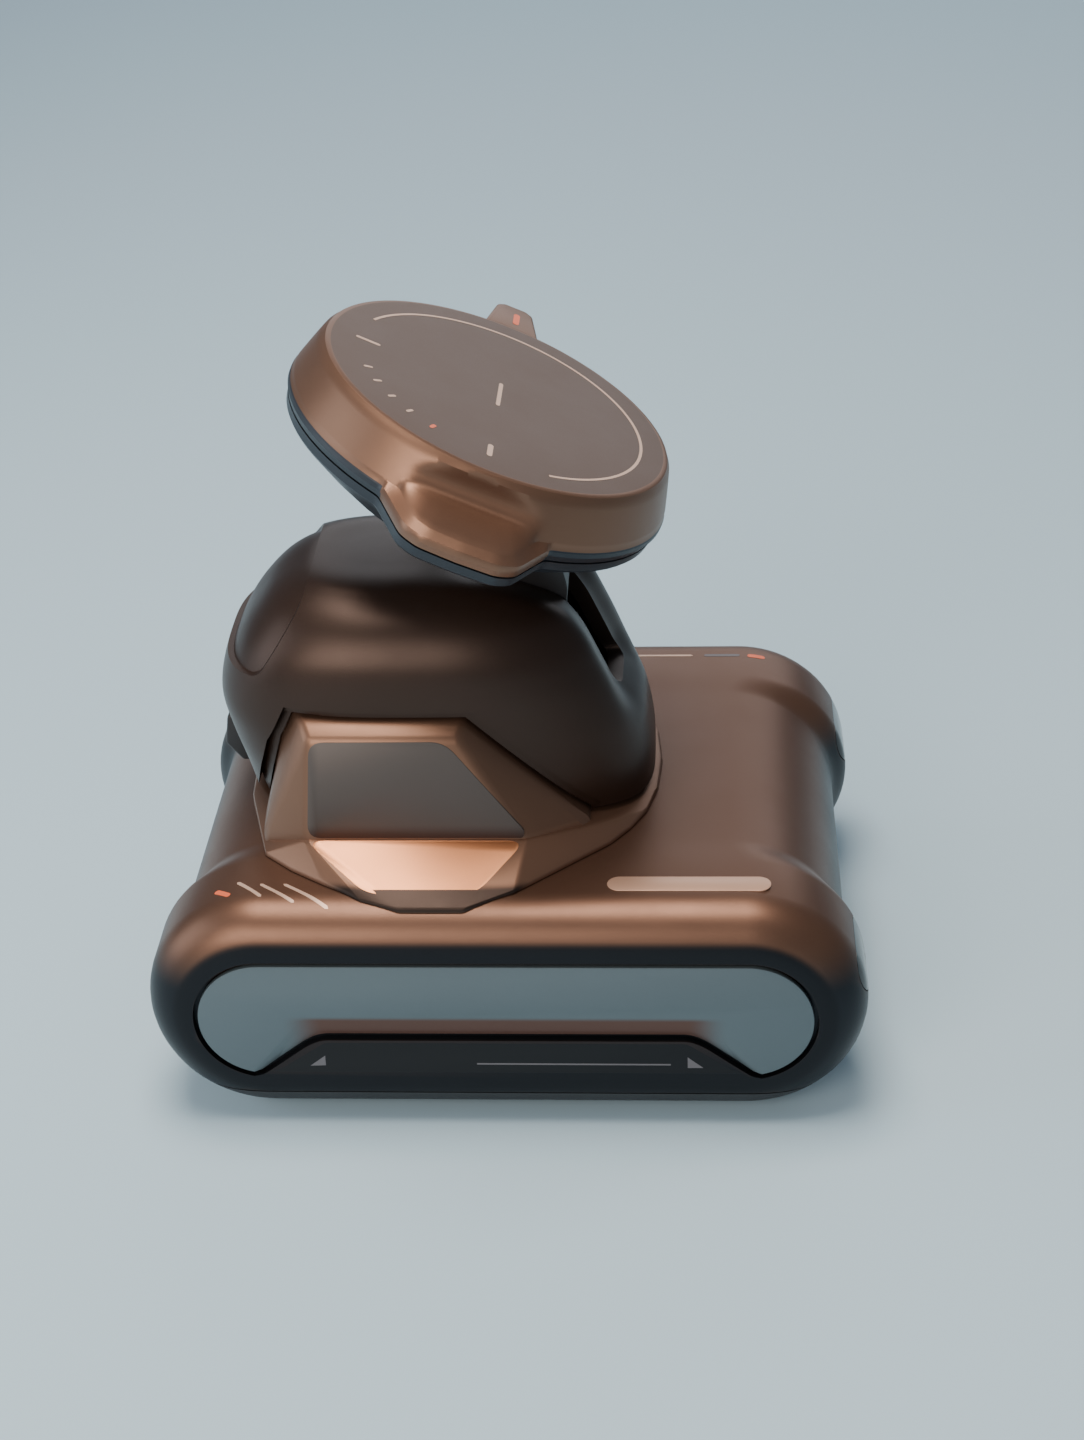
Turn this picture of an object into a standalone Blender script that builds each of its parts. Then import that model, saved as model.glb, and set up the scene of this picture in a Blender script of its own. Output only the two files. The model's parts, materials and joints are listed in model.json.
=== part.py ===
"""Two-wheel desktop robot with a tilting magnetic phone plate.

A low two-pod base stands on two driven wheels and two ball casters. A hump on its deck holds a
geared neck, and the neck carries a round plate with a magnet ring. Blender units are metres, +Z is
up, +X is the robot's front and +Y its left. The origin is on the floor under the middle of the base.
All sizes below are in millimetres, and MM turns them into metres as each mesh is made.
"""
import math

import bmesh
import bpy
from mathutils import Matrix, Vector

MM = 0.001
GAP = 0.3               # air kept between two pieces that rest on each other
OVERCUT = 5.0           # how far a cutter runs past the face it opens

# Base: two pods with stadium-shaped sides, and a middle whose noses are set back.
BASE_L = 120.0
BASE_W = 97.0
BASE_H = 40.7
FLOOR_GAP = 1.2         # ground clearance under the base
EDGE_R = 8.0            # rounding between the side faces and the rim
WALL = 2.4
NOSE_SET = 3.0          # how far the middle's noses sit behind the pods'
POD_EDGE = 28.0         # |Y| where a pod meets the middle
POD_BLEND = 7.0
SPLIT_Z = 6.5           # parting plane of the two base shells
BASE_MID_Z = FLOOR_GAP + BASE_H / 2
DECK_Z = FLOOR_GAP + BASE_H
INNER_FLOOR_Z = FLOOR_GAP + WALL
INNER_DECK_Z = DECK_Z - WALL
BASE_ARC_STEPS = 10
BASE_EDGE_STEPS = 3

# Grey panels let into the side faces.
PANEL_HALF_L = 50.8
PANEL_R = 10.95
PANEL_T = 1.2
PANEL_BORDER = 0.7
PANEL_NOTCH = ((-42.3, 10.85), (-41.0, 11.2), (-38.6, 13.0), (-33.2, 17.2), (-30.6, 18.4))

# Headlight windows in the pods' front noses.
LENS_Y = 36.5
LENS_Z = 27.0
LENS_W = 15.0
LENS_H = 8.0
LENS_T = 1.6

# Drive.
WHEEL_R = 13.0
WHEEL_Y = 37.0
TYRE_W = 8.0
HUB_R = 9.2
AXLE_R = 1.5
GEARBOX = (12.0, 9.0, 10.0)      # X, Y and Z sizes
MOTOR_LEN = 15.5
MOTOR_R = 6.0
GEARBOX_Y = 25.4                 # |Y| of the gearbox's middle
CASTER_X = 39.0
BALL_R = 4.0
SHELL_POST = (36.0, 24.0)
POST_R = 3.0
HOLE_R = 1.2

# Hump.
HUMP_TOP_Z = 65.1
HUMP_SEAM = ((-46.0, 0.0), (-45.3, 11.0), (-43.0, 19.6), (-40.3, 30.0), (-35.3, 34.7),
             (-29.4, 38.9), (-23.2, 42.9), (-16.5, 44.9), (-6.0, 44.9), (2.2, 41.1), (7.1, 35.8),
             (12.2, 31.0), (17.4, 26.6), (20.6, 22.0), (23.3, 16.5), (25.1, 9.0), (25.8, 0.0))
# Helmet-shaped neck cover: height, rear end, front end and half width of each level.
COVER_LEVELS = ((43.7, -45.0, 24.6, 24.0), (50.0, -46.4, 24.4, 25.0), (57.0, -48.4, 22.9, 25.2),
                (63.0, -49.5, 20.8, 25.2), (69.0, -48.2, 18.2, 25.0), (74.0, -45.8, 15.8, 24.1),
                (78.0, -42.8, 12.8, 22.1), (81.0, -39.8, 9.0, 19.3), (83.2, -36.2, 4.0, 15.6),
                (84.3, -32.5, -2.0, 12.0))
COVER_ROUNDNESS = 3.0
COVER_POINTS = 36
COVER_T = 2.0
SLOT_HALF_W = 6.2

# Neck: a gear on the arm turns on the pivot pin, driven by the servo's pinion.
PIVOT = (2.0, 0.0, 60.0)
PIN_R = 1.5
CHEEK_Y = 11.3
CHEEK_T = 2.0
ARM_HALF_W = 5.6
GEAR_MODULE = 0.8
GEAR_TEETH = 26
PINION_TEETH = 14
GEAR_Y = 7.5
GEAR_W = 3.0
GEAR_BACKLASH = 0.24
GEAR_CENTRES = GEAR_MODULE * (GEAR_TEETH + PINION_TEETH) / 2

# Head: a round plate, tilted forward, on its own axes with the face at Z = 0.
HEAD_CENTRE = (0.0, 0.0, 112.0)
HEAD_TILT_DEG = 24.0
FACE_R = 29.9
HEAD_WALL = 2.0
HEAD_SPLIT_Z = -10.75
HEAD_DEPTH = 20.0
HEAD_FLOOR = 2.6
HEAD_SEGMENTS = 40
HEAD_POST_R = 17.0
HEAD_POST_ANGLES = (60.0, 180.0, 300.0)

# Materials: colour, roughness, metallic.
MATERIALS = {
    "bronze_plastic": ((0.105, 0.066, 0.048), 0.42, 0.55),
    "dark_plastic": ((0.035, 0.027, 0.024), 0.45, 0.2),
    "panel_grey": ((0.10, 0.135, 0.15), 0.35, 0.5),
    "black_plastic": ((0.02, 0.02, 0.022), 0.5, 0.0),
    "smoked_lens": ((0.01, 0.01, 0.012), 0.08, 0.0),
    "rubber": ((0.018, 0.018, 0.018), 0.85, 0.0),
    "white_nylon": ((0.72, 0.71, 0.66), 0.45, 0.0),
    "steel": ((0.55, 0.55, 0.56), 0.28, 1.0),
    "magnet": ((0.42, 0.42, 0.44), 0.25, 1.0),
    "board_green": ((0.02, 0.12, 0.06), 0.5, 0.0),
    "cell_silver": ((0.5, 0.52, 0.55), 0.4, 0.6),
    "servo_blue": ((0.03, 0.06, 0.16), 0.35, 0.0),
}


# ---------------------------------------------------------------- helpers

def clear_scene():
    for obj in list(bpy.data.objects):
        bpy.data.objects.remove(obj, do_unlink=True)


def material(name):
    found = bpy.data.materials.get(name)
    if found:
        return found
    colour, roughness, metallic = MATERIALS[name]
    made = bpy.data.materials.new(name)
    made.use_nodes = True
    shader = made.node_tree.nodes["Principled BSDF"]
    shader.inputs["Base Color"].default_value = (*colour, 1.0)
    shader.inputs["Roughness"].default_value = roughness
    shader.inputs["Metallic"].default_value = metallic
    made.diffuse_color = (*colour, 1.0)
    return made


def empty(name, location, parent=None, tilt_deg=0.0):
    """An axis or seat that pieces are parented to; tilt_deg turns it about Y."""
    axis = bpy.data.objects.new(name, None)
    axis.location = Vector(location) * MM
    axis.rotation_euler = (0.0, math.radians(tilt_deg), 0.0)
    axis.empty_display_size = 10 * MM
    axis.parent = parent
    bpy.context.collection.objects.link(axis)
    return axis


def finish_mesh(name, bm, parent=None):
    """Turn a bmesh in millimetres into an object in metres."""
    bmesh.ops.recalc_face_normals(bm, faces=bm.faces)
    bmesh.ops.scale(bm, vec=(MM, MM, MM), verts=bm.verts)
    mesh = bpy.data.meshes.new(name)
    bm.to_mesh(mesh)
    bm.free()
    obj = bpy.data.objects.new(name, mesh)
    obj.parent = parent
    bpy.context.collection.objects.link(obj)
    return obj


def dress(obj, name, material_name, smooth_deg=35.0):
    """Name a piece, give it its material and shade its round faces smooth."""
    obj.name = name
    obj.data.name = name
    obj.data.materials.clear()
    obj.data.materials.append(material(material_name))
    obj.data.shade_smooth()
    obj.data.set_sharp_from_angle(angle=math.radians(smooth_deg))
    return obj


def rings_solid(rings, parent=None):
    """Skin a list of equal rings of points and cap both ends."""
    bm = bmesh.new()
    loops = [[bm.verts.new(point) for point in ring] for ring in rings]
    count = len(rings[0])
    for near, far in zip(loops, loops[1:]):
        for k in range(count):
            after = (k + 1) % count
            bm.faces.new((near[k], near[after], far[after], far[k]))
    bm.faces.new(loops[0])
    bm.faces.new(loops[-1])
    return finish_mesh("solid", bm, parent)


AXIS_FRAMES = {
    "X": lambda a, b, along: (along, a, b),
    "Y": lambda a, b, along: (a, along, b),
    "Z": lambda a, b, along: (a, b, along),
}


def prism(outline, low, high, axis, parent=None):
    """Extrude a flat outline along an axis: (Y, Z) for X, (X, Z) for Y, (X, Y) for Z."""
    frame = AXIS_FRAMES[axis]
    return rings_solid([[frame(a, b, along) for a, b in outline] for along in (low, high)], parent)


def box(low, high, parent=None):
    outline = ((low[0], low[1]), (high[0], low[1]), (high[0], high[1]), (low[0], high[1]))
    return prism(outline, low[2], high[2], "Z", parent)


def lathe(profile, segments, axis="Z", centre=(0.0, 0.0, 0.0), parent=None):
    """Turn (radius, height) points about an axis. A profile off the axis makes a ring."""
    bm = bmesh.new()
    frame = AXIS_FRAMES[axis]
    middle = Vector(centre)
    loops = []
    for radius, height in profile:
        count = segments if radius > 1e-6 else 1
        turns = [2 * math.pi * k / segments for k in range(count)]
        loops.append([bm.verts.new(Vector(frame(radius * math.sin(t), -radius * math.cos(t), height))
                                   + middle) for t in turns])
    pairs = list(zip(loops, loops[1:]))
    if len(loops[0]) > 1:
        pairs.append((loops[-1], loops[0]))
    for near, far in pairs:
        for k in range(segments):
            after = (k + 1) % segments
            corners = [near[k % len(near)], near[after % len(near)],
                       far[after % len(far)], far[k % len(far)]]
            unique = list(dict.fromkeys(corners))
            if len(unique) > 2:
                bm.faces.new(unique)
    return finish_mesh("turned", bm, parent)


def cylinder(radius, low, high, axis="Z", centre=(0.0, 0.0, 0.0), segments=16, parent=None):
    profile = ((0.0, low), (radius, low), (radius, high), (0.0, high))
    return lathe(profile, segments, axis, centre, parent)


def hull(points, grow=0.0, parent=None):
    """The convex solid over a set of points, with every point grown to a small cube."""
    steps = (-grow, grow) if grow else (0.0,)
    bm = bmesh.new()
    for x, y, z in points:
        for dx in steps:
            for dy in steps:
                for dz in steps:
                    bm.verts.new((x + dx, y + dy, z + dz))
    result = bmesh.ops.convex_hull(bm, input=bm.verts)
    loose = [item for item in result["geom_interior"] if isinstance(item, bmesh.types.BMVert)]
    bmesh.ops.delete(bm, geom=loose, context="VERTS")
    bmesh.ops.dissolve_limit(bm, angle_limit=math.radians(1), verts=bm.verts, edges=bm.edges)
    return finish_mesh("hull", bm, parent)


def combine(target, operand, operation):
    operand.hide_render = True
    operand.display_type = "WIRE"
    operand.name = f"tool_{operation.lower()}"
    boolean = target.modifiers.new(operation.title(), "BOOLEAN")
    boolean.operation = operation
    boolean.solver = "EXACT"
    boolean.object = operand
    return target


def cut(target, *operands):
    for operand in operands:
        combine(target, operand, "DIFFERENCE")
    return target


def join(target, *operands):
    for operand in operands:
        combine(target, operand, "UNION")
    return target


def bevel(obj, width, angle_deg=30.0, segments=1):
    modifier = obj.modifiers.new("Bevel", "BEVEL")
    modifier.width = width * MM
    modifier.segments = segments
    modifier.limit_method = "ANGLE"
    modifier.angle_limit = math.radians(angle_deg)
    return obj


def arc(centre, radius, start_deg, end_deg, steps):
    angles = [math.radians(start_deg + (end_deg - start_deg) * k / steps) for k in range(steps + 1)]
    return [(centre[0] + radius * math.cos(a), centre[1] + radius * math.sin(a)) for a in angles]


def obround(centre, width, height, steps=8):
    """A slot outline with round ends, longer along its first axis."""
    reach = (width - height) / 2
    right = arc((centre[0] + reach, centre[1]), height / 2, -90, 90, steps)
    left = arc((centre[0] - reach, centre[1]), height / 2, 90, 270, steps)
    return right + left


def offset_outline(points, distance):
    """Move every corner of a counter-clockwise outline outward."""
    moved = []
    count = len(points)
    for k, point in enumerate(points):
        here = Vector(point)
        before = (here - Vector(points[k - 1])).normalized()
        after = (Vector(points[(k + 1) % count]) - here).normalized()
        normal = Vector((before.y + after.y, -before.x - after.x)).normalized()
        spread = max(0.5, normal.dot(Vector((before.y, -before.x))))
        moved.append(tuple(here + normal * (distance / spread)))
    return moved


def both_sides(points):
    mirrored = [(x, side * y, z) for x, y, z in points for side in (1, -1)]
    return list(dict.fromkeys(mirrored))


def smooth_step(t):
    t = min(1.0, max(0.0, t))
    return t * t * (3 - 2 * t)


# ---------------------------------------------------------------- base

def base_form(offset):
    """The base's outer form, grown by offset (a negative offset makes the hollow inside)."""
    half_w = BASE_W / 2 + offset
    edge = EDGE_R + offset
    stations = []
    for k in range(BASE_EDGE_STEPS + 1):
        turn = math.radians(90 * (1 - k / BASE_EDGE_STEPS))
        stations.append((half_w - edge + edge * math.sin(turn), edge * (1 - math.cos(turn)), 0.0))
    for k in range(4):
        t = k / 3
        y = POD_EDGE + POD_BLEND * (0.5 - t)
        stations.append((y, 0.0, NOSE_SET * smooth_step(t)))
    stations += [(-y, inset, nose) for y, inset, nose in reversed(stations)]
    rings = []
    for y, inset, nose in stations:
        radius = BASE_H / 2 + offset - inset
        reach = BASE_L / 2 + offset - inset - nose - radius
        front = arc((reach, BASE_MID_Z), radius, -90, 90, BASE_ARC_STEPS)
        rear = arc((-reach, BASE_MID_Z), radius, 90, 270, BASE_ARC_STEPS)
        rings.append([(x, y, z) for x, z in front + rear])
    return rings_solid(rings)


def panel_outline(grow=0.0):
    """The side panel: a stadium with a notch let into its lower edge."""
    centre_x = PANEL_HALF_L - PANEL_R
    left_notch = list(PANEL_NOTCH)
    right_notch = [(-x, z) for x, z in reversed(left_notch)]
    tip_deg = math.degrees(math.acos((PANEL_NOTCH[0][0] + centre_x) / PANEL_R))
    front = arc((centre_x, BASE_MID_Z), PANEL_R, tip_deg - 180, 90, 12)
    rear = arc((-centre_x, BASE_MID_Z), PANEL_R, 90, 360 - tip_deg, 12)
    outline = front + rear + left_notch[1:] + right_notch[:-1]
    return offset_outline(outline, grow) if grow else outline


def side_panels():
    for name, side in (("side_panel_left", 1), ("side_panel_right", -1)):
        outer = side * BASE_W / 2
        panel = prism(panel_outline(), outer - side * PANEL_T, outer, "Y")
        dress(panel, name, "panel_grey")


def lens_cutter(side, grow=0.0):
    outline = obround((side * LENS_Y, LENS_Z), LENS_W + 2 * grow, LENS_H + 2 * grow)
    return prism(outline, BASE_L / 2 - 12, BASE_L / 2 + OVERCUT, "X")


def headlights():
    for name, side in (("left", 1), ("right", -1)):
        lens = lens_cutter(side)
        combine(lens, base_form(0.0), "INTERSECT")
        cut(lens, base_form(-LENS_T))
        dress(lens, f"headlight_lens_{name}", "smoked_lens")
        board = box((49.4, side * LENS_Y - 4, 21.0), (51.0, side * LENS_Y + 4, 35.2))
        led = join(board, cylinder(1.9, 50.4, 54.0, "X", (0.0, side * LENS_Y, LENS_Z), 12))
        dress(led, f"headlight_led_{name}", "white_nylon")


def deck_screw_spots():
    return [(x, y) for x in (-33.5, 12.0) for y in (-11.0, 11.0)]


def shell_post_spots():
    return [(x * SHELL_POST[0], y * SHELL_POST[1]) for x in (-1, 1) for y in (-1, 1)]


def base_top_shell():
    shell = cut(base_form(0.0), base_form(-WALL))
    for x, y in shell_post_spots():
        join(shell, cylinder(POST_R, SPLIT_Z - 2, INNER_DECK_Z + 1, "Z", (x, y, 0)))
    for x, y in deck_screw_spots():
        join(shell, cylinder(POST_R, INNER_DECK_Z - 6, INNER_DECK_Z + 1, "Z", (x, y, 0)))
        cut(shell, cylinder(HOLE_R, INNER_DECK_Z - 4, DECK_Z + OVERCUT, "Z", (x, y, 0), 10))
    cut(shell, box((-70, -60, -OVERCUT), (70, 60, SPLIT_Z + GAP / 2)))
    for x, y in shell_post_spots():
        cut(shell, cylinder(HOLE_R, -OVERCUT, 16, "Z", (x, y, 0), 10))
    pocket = panel_outline(PANEL_BORDER)
    depth = PANEL_T + GAP
    for side in (1, -1):
        outer = side * BASE_W / 2
        cut(shell, prism(pocket, outer - side * depth, outer + side * OVERCUT, "Y"))
        cut(shell, lens_cutter(side, GAP))
    cut(shell, prism(obround((0.0, 18.7), 9.6, 3.9), -70, -50, "X"))
    cut(shell, box((-2, -5, INNER_DECK_Z - 2), (6, 5, DECK_Z + 2)))
    dress(shell, "base_top_shell", "bronze_plastic")


def base_bottom_shell():
    shell = cut(base_form(0.0), base_form(-WALL))
    cut(shell, box((-70, -60, SPLIT_Z - GAP / 2), (70, 60, 60)))
    for side in (1, -1):
        wheel_low = min(side * (WHEEL_Y - 6), side * (WHEEL_Y + 6))
        cut(shell, box((-15.5, wheel_low, -OVERCUT), (15.5, wheel_low + 12, 20)))
        for half_l, inner, outer in ((6.5, 7.0, 9.0), (13.5, 22.0, 28.5)):
            low, high = sorted((side * inner, side * outer))
            join(shell, box((-half_l, low, INNER_FLOOR_Z - 1), (half_l, high, 7.7)))
        join(shell, cylinder(2.2, INNER_FLOOR_Z - 1, 14.9, "Z", (-19, side * 17, 0), 10))
        join(shell, cylinder(2.2, INNER_FLOOR_Z - 1, 14.9, "Z", (-33, side * 17, 0), 10))
    for x, y in shell_post_spots():
        join(shell, cylinder(POST_R + 0.3, INNER_FLOOR_Z - 1, SPLIT_Z - GAP / 2, "Z", (x, y, 0)))
        cut(shell, cylinder(HOLE_R, -OVERCUT, 20, "Z", (x, y, 0), 10))
        cut(shell, cylinder(2.6, -OVERCUT, 3.1, "Z", (x, y, 0), 14))
    for side in (1, -1):
        cut(shell, cylinder(6.5, -OVERCUT, 20, "Z", (side * CASTER_X, 0, 0), 24))
    dress(shell, "base_bottom_shell", "black_plastic")


def base_screws():
    for k, (x, y) in enumerate(shell_post_spots(), 1):
        profile = ((0, 1.5), (2.2, 1.5), (2.2, 2.8), (0.85, 2.8), (0.85, 13), (0, 14))
        screw = lathe(profile, 12, "Z", (x, y, 0))
        dress(screw, f"base_screw_{k}", "steel")


def electronics():
    battery = bevel(box((9.0, -20, 6.2), (31.6, 20, 17.0)), 1.2)
    dress(battery, "battery", "cell_silver")
    board = box((-52, -20, 15.2), (-16, 20, 16.8))
    for low, high in (((-40, -8), (-30, 4)), ((-28, 6), (-21, 14)), ((-27, -14), (-20, -6))):
        join(board, box((*low, 16.5), (*high, 18.4)))
    dress(board, "main_board", "board_green")
    socket = prism(obround((0.0, 18.7), 9.0, 3.3), -56.8, -49.4, "X")
    cut(socket, prism(obround((0.0, 18.7), 8.3, 2.6), -60, -50.6, "X"))
    dress(socket, "charge_socket", "steel")


def battery_tray():
    """A shallow tray that carries the cell over the bottom shell's floor."""
    tray = box((7.6, -21.4, INNER_FLOOR_Z + GAP), (32.4, 21.4, 9.5))
    cut(tray, box((8.7, -20.3, 5.9), (31.9, 20.3, 30)))
    dress(tray, "battery_tray", "black_plastic")


# ---------------------------------------------------------------- drive

def drive_side(name, side):
    """Motor, gearbox and strap on the base; axle, hub and tyre on the wheel's own axis."""
    middle = (0.0, side * GEARBOX_Y, WHEEL_R)
    half = [size / 2 for size in GEARBOX]
    gearbox = box([middle[k] - half[k] for k in range(3)], [middle[k] + half[k] for k in range(3)])
    shaft_hole = AXLE_R + GAP
    cut(gearbox, cylinder(shaft_hole, -60, 60, "Y", (0, 0, WHEEL_R), 12))
    dress(bevel(gearbox, 0.6), f"drive_gearbox_{name}", "white_nylon")

    inner = GEARBOX_Y - half[1] - GAP
    low, high = sorted((side * inner, side * (inner - MOTOR_LEN)))
    can = [(x, max(-4.8, min(4.8, z))) for x, z in arc((0, 0), MOTOR_R, 0, 345, 23)]
    motor = prism([(x, z + WHEEL_R) for x, z in can], low, high, "Y")
    dress(motor, f"drive_motor_{name}", "steel")

    low, high = sorted((side * (GEARBOX_Y - 3.2), side * (GEARBOX_Y + 2.8)))
    inside = GEARBOX[0] / 2 + GAP
    top = WHEEL_R + GEARBOX[2] / 2 + GAP
    outside = inside + 1.3
    strap_outline = ((-13, 8.0), (-inside, 8.0), (-inside, top), (inside, top), (inside, 8.0),
                     (13, 8.0), (13, 9.4), (outside, 9.4), (outside, top + 1.3),
                     (-outside, top + 1.3), (-outside, 9.4), (-13, 9.4))
    dress(prism(strap_outline, low, high, "Y"), f"motor_strap_{name}", "black_plastic")

    axis = empty(f"{name}_wheel_axis", (0.0, side * WHEEL_Y, WHEEL_R))
    reach = sorted((side * 3.0, -side * (WHEEL_Y - GEARBOX_Y + 2.0)))
    dress(cylinder(AXLE_R, *reach, "Y", segments=12, parent=axis), f"wheel_axle_{name}", "steel")

    rim = ((AXLE_R + GAP, -3.2), (3.4, -3.2), (3.4, -1.4), (7.4, -1.4), (7.4, -3.6), (HUB_R, -3.6),
           (HUB_R, 3.6), (7.4, 3.6), (7.4, 1.4), (3.4, 1.4), (3.4, 3.4), (AXLE_R + GAP, 3.4))
    hub = lathe(rim, 24, "Y", parent=axis)
    dress(hub, f"wheel_hub_{name}", "white_nylon")

    inside = HUB_R + GAP
    half_w = TYRE_W / 2
    tread = [(inside, half_w - 0.2), (WHEEL_R - 0.8, half_w), (WHEEL_R, half_w - 0.9)]
    for y in (1.6, 0.0, -1.6):
        tread += [(WHEEL_R, y + 0.5), (WHEEL_R - 0.7, y + 0.25), (WHEEL_R - 0.7, y - 0.25),
                  (WHEEL_R, y - 0.5)]
    tread += [(WHEEL_R, 0.9 - half_w), (WHEEL_R - 0.8, -half_w), (inside, 0.2 - half_w)]
    dress(lathe(tread, 24, "Y", parent=axis), f"tyre_{name}", "rubber")


def caster(name, x):
    """A steel ball that rolls in a cup let into the bottom shell."""
    axis = empty(f"{name}_caster_axis", (x, 0, BALL_R))
    ball = lathe([(BALL_R * math.sin(math.pi * k / 8), -BALL_R * math.cos(math.pi * k / 8))
                  for k in range(9)], 16, parent=axis)
    dress(ball, f"caster_ball_{name}", "steel", 60)
    room = BALL_R + GAP
    mouth_z = 1.5 - BALL_R
    dome = [(math.sqrt(room ** 2 - mouth_z ** 2), mouth_z)]
    for k in range(1, 6):
        turn = math.asin(mouth_z / room) + (math.pi / 2 - math.asin(mouth_z / room)) * k / 5
        dome.append((room * math.cos(turn), room * math.sin(turn)))
    dome[-1] = (0.0, room)
    outside = [(0.0, 6.2), (6.2, 6.2), (6.2, mouth_z)]
    cup = lathe(dome + outside, 20, centre=(x, 0, BALL_R))
    dress(cup, f"caster_cup_{name}", "black_plastic")


# ---------------------------------------------------------------- hump

def hump_skirt_points():
    """The low skirt on the deck, with the sloping lower facet of each side."""
    foot = [(x, y, z) for x, y in HUMP_SEAM for z in (38.5, 42.7 - max(0.0, y - 41.0) * 0.3)]
    shelf = [(-33.0, 31.5, 46.3), (3.6, 31.5, 46.3), (-19.0, 42.5, 42.3), (-3.6, 42.5, 42.3)]
    crown = [(24.6, 0.0, 43.2), (23.4, 10.0, 43.2), (20.5, 17.5, 43.2), (13.5, 25.5, 45.0),
             (-44.8, 8.0, 43.3), (-41.5, 20.0, 43.3), (-38.5, 29.0, 44.0)]
    return both_sides(foot + shelf + crown)


def hump_block_points():
    """The upper block: the hexagonal side faces and the bevels round them."""
    face = [(-32.0, 28.0, 63.2), (-7.0, 28.0, 63.2), (-33.0, 31.5, 46.3), (3.6, 31.5, 46.3)]
    edge = [(-33.3, 25.0, HUMP_TOP_Z), (-6.3, 25.0, HUMP_TOP_Z), (11.5, 25.0, 47.8),
            (-40.8, 27.0, 44.6)]
    inside = [(-36.0, 18.0, HUMP_TOP_Z), (-6.3, 10.0, HUMP_TOP_Z), (11.5, 10.0, 47.8)]
    foot = [(-40.8, 27.0, 41.0), (-33.0, 31.5, 41.0), (3.6, 31.5, 41.0), (11.5, 25.0, 41.0),
            (-42.5, 18.0, 41.0)]
    return both_sides(face + edge + inside + foot)


def hump_fairing():
    """Open inside for the neck, and hollow under each side face."""
    fairing = join(hull(hump_skirt_points()), hull(hump_block_points()))
    cut(fairing, base_form(GAP))
    inner = ((-38.0, 23.0, 36.0), (-32.0, 28.0, 36.0), (0.5, 28.0, 36.0), (7.0, 22.5, 36.0),
             (-37.5, 23.0, 46.0), (-31.0, 28.0, 46.0), (0.0, 28.0, 46.0), (5.0, 22.5, 46.0),
             (-31.5, 22.5, 62.5), (-9.5, 22.5, 62.5), (-31.0, 25.3, 61.0), (-9.5, 25.3, 61.0))
    cut(fairing, hull(both_sides(inner)))
    cut(fairing, cover_form(COVER_T + GAP))
    cut(fairing, box((-55.0, -17.5, 44.0), (-38.0, 17.5, 80.0)))
    dress(fairing, "hump_fairing", "bronze_plastic", 20)


def cover_ring(z, rear, front, half_w):
    """One level of the neck cover: an oval between its rear and front ends."""
    middle = (rear + front) / 2
    power = 2 / COVER_ROUNDNESS
    ring = []
    for k in range(COVER_POINTS):
        turn = 2 * math.pi * k / COVER_POINTS
        c = math.cos(turn)
        s = math.sin(turn)
        x = middle + (front - middle) * math.copysign(abs(c) ** power, c)
        y = half_w * math.copysign(abs(s) ** power, s)
        ring.append((x, y, z))
    return ring


def cover_form(inset):
    levels = [(z - inset, rear + inset, front - inset, half_w - inset)
              for z, rear, front, half_w in COVER_LEVELS]
    if inset:
        z, rear, front, half_w = levels[0]
        levels.insert(0, (z - 2 * OVERCUT, rear, front, half_w))
    return rings_solid([cover_ring(*level) for level in levels])


def neck_cover():
    cover = cut(cover_form(0.0), cover_form(COVER_T))
    cut(cover, hull(hump_skirt_points(), GAP), hull(hump_block_points(), GAP))
    slot = ((-9.5, 95.0), (-9.5, 66.0), (6.0, 60.0), (14.0, 61.4), (30.0, 61.4), (30.0, 95.0))
    cut(cover, prism(slot, -SLOT_HALF_W, SLOT_HALF_W, "Y"))
    cut(cover, box((-60, -5.8, 45.6), (-40, 5.8, 55.0)))
    dress(cover, "neck_cover", "dark_plastic", 30)


def power_button():
    """A snout-shaped key through the cover's rear wall, with a flange behind it."""
    axis = empty("power_button_axis", (-45.0, 0.0, 50.3))
    outline = ((2.0, -4.4), (2.0, 4.4), (-4.6, 4.4), (-5.3, -1.0), (-2.6, -4.4))
    key = join(prism(outline, -5.4, 5.4, "Y", axis),
               box((1.8, -3.0, -3.0), (3.0, 3.0, 3.0), axis),
               box((2.4, -7.0, -5.6), (3.9, 7.0, 5.6), axis),
               box((3.7, -1.4, -1.4), (5.2, 1.4, 1.4), axis))
    dress(key, "power_button", "black_plastic")
    switch = join(box((-37.0, -3.5, 46.8), (-33.2, 3.5, 53.8)),
                  cylinder(1.5, -38.7, -36.5, "X", (0, 0, 50.3), 12))
    dress(switch, "power_switch", "steel")


# ---------------------------------------------------------------- neck

def gear_outline(teeth, turn_deg):
    """Trapezoid-sided spur teeth; turn_deg places the middle of one tooth."""
    pitch_r = GEAR_MODULE * teeth / 2
    tip_r = pitch_r + 0.95 * GEAR_MODULE
    root_r = pitch_r - 1.25 * GEAR_MODULE
    half_pitch = (math.pi * GEAR_MODULE / 2 - GEAR_BACKLASH) / 2
    slope = math.tan(math.radians(20))
    outline = []
    for k in range(teeth):
        middle = math.radians(turn_deg) + 2 * math.pi * k / teeth
        for radius, side in ((root_r, -1), (tip_r, -1), (tip_r, 1), (root_r, 1)):
            half = half_pitch - (radius - pitch_r) * slope
            outline.append((radius * math.cos(middle + side * half / radius),
                            radius * math.sin(middle + side * half / radius)))
    return outline


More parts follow.
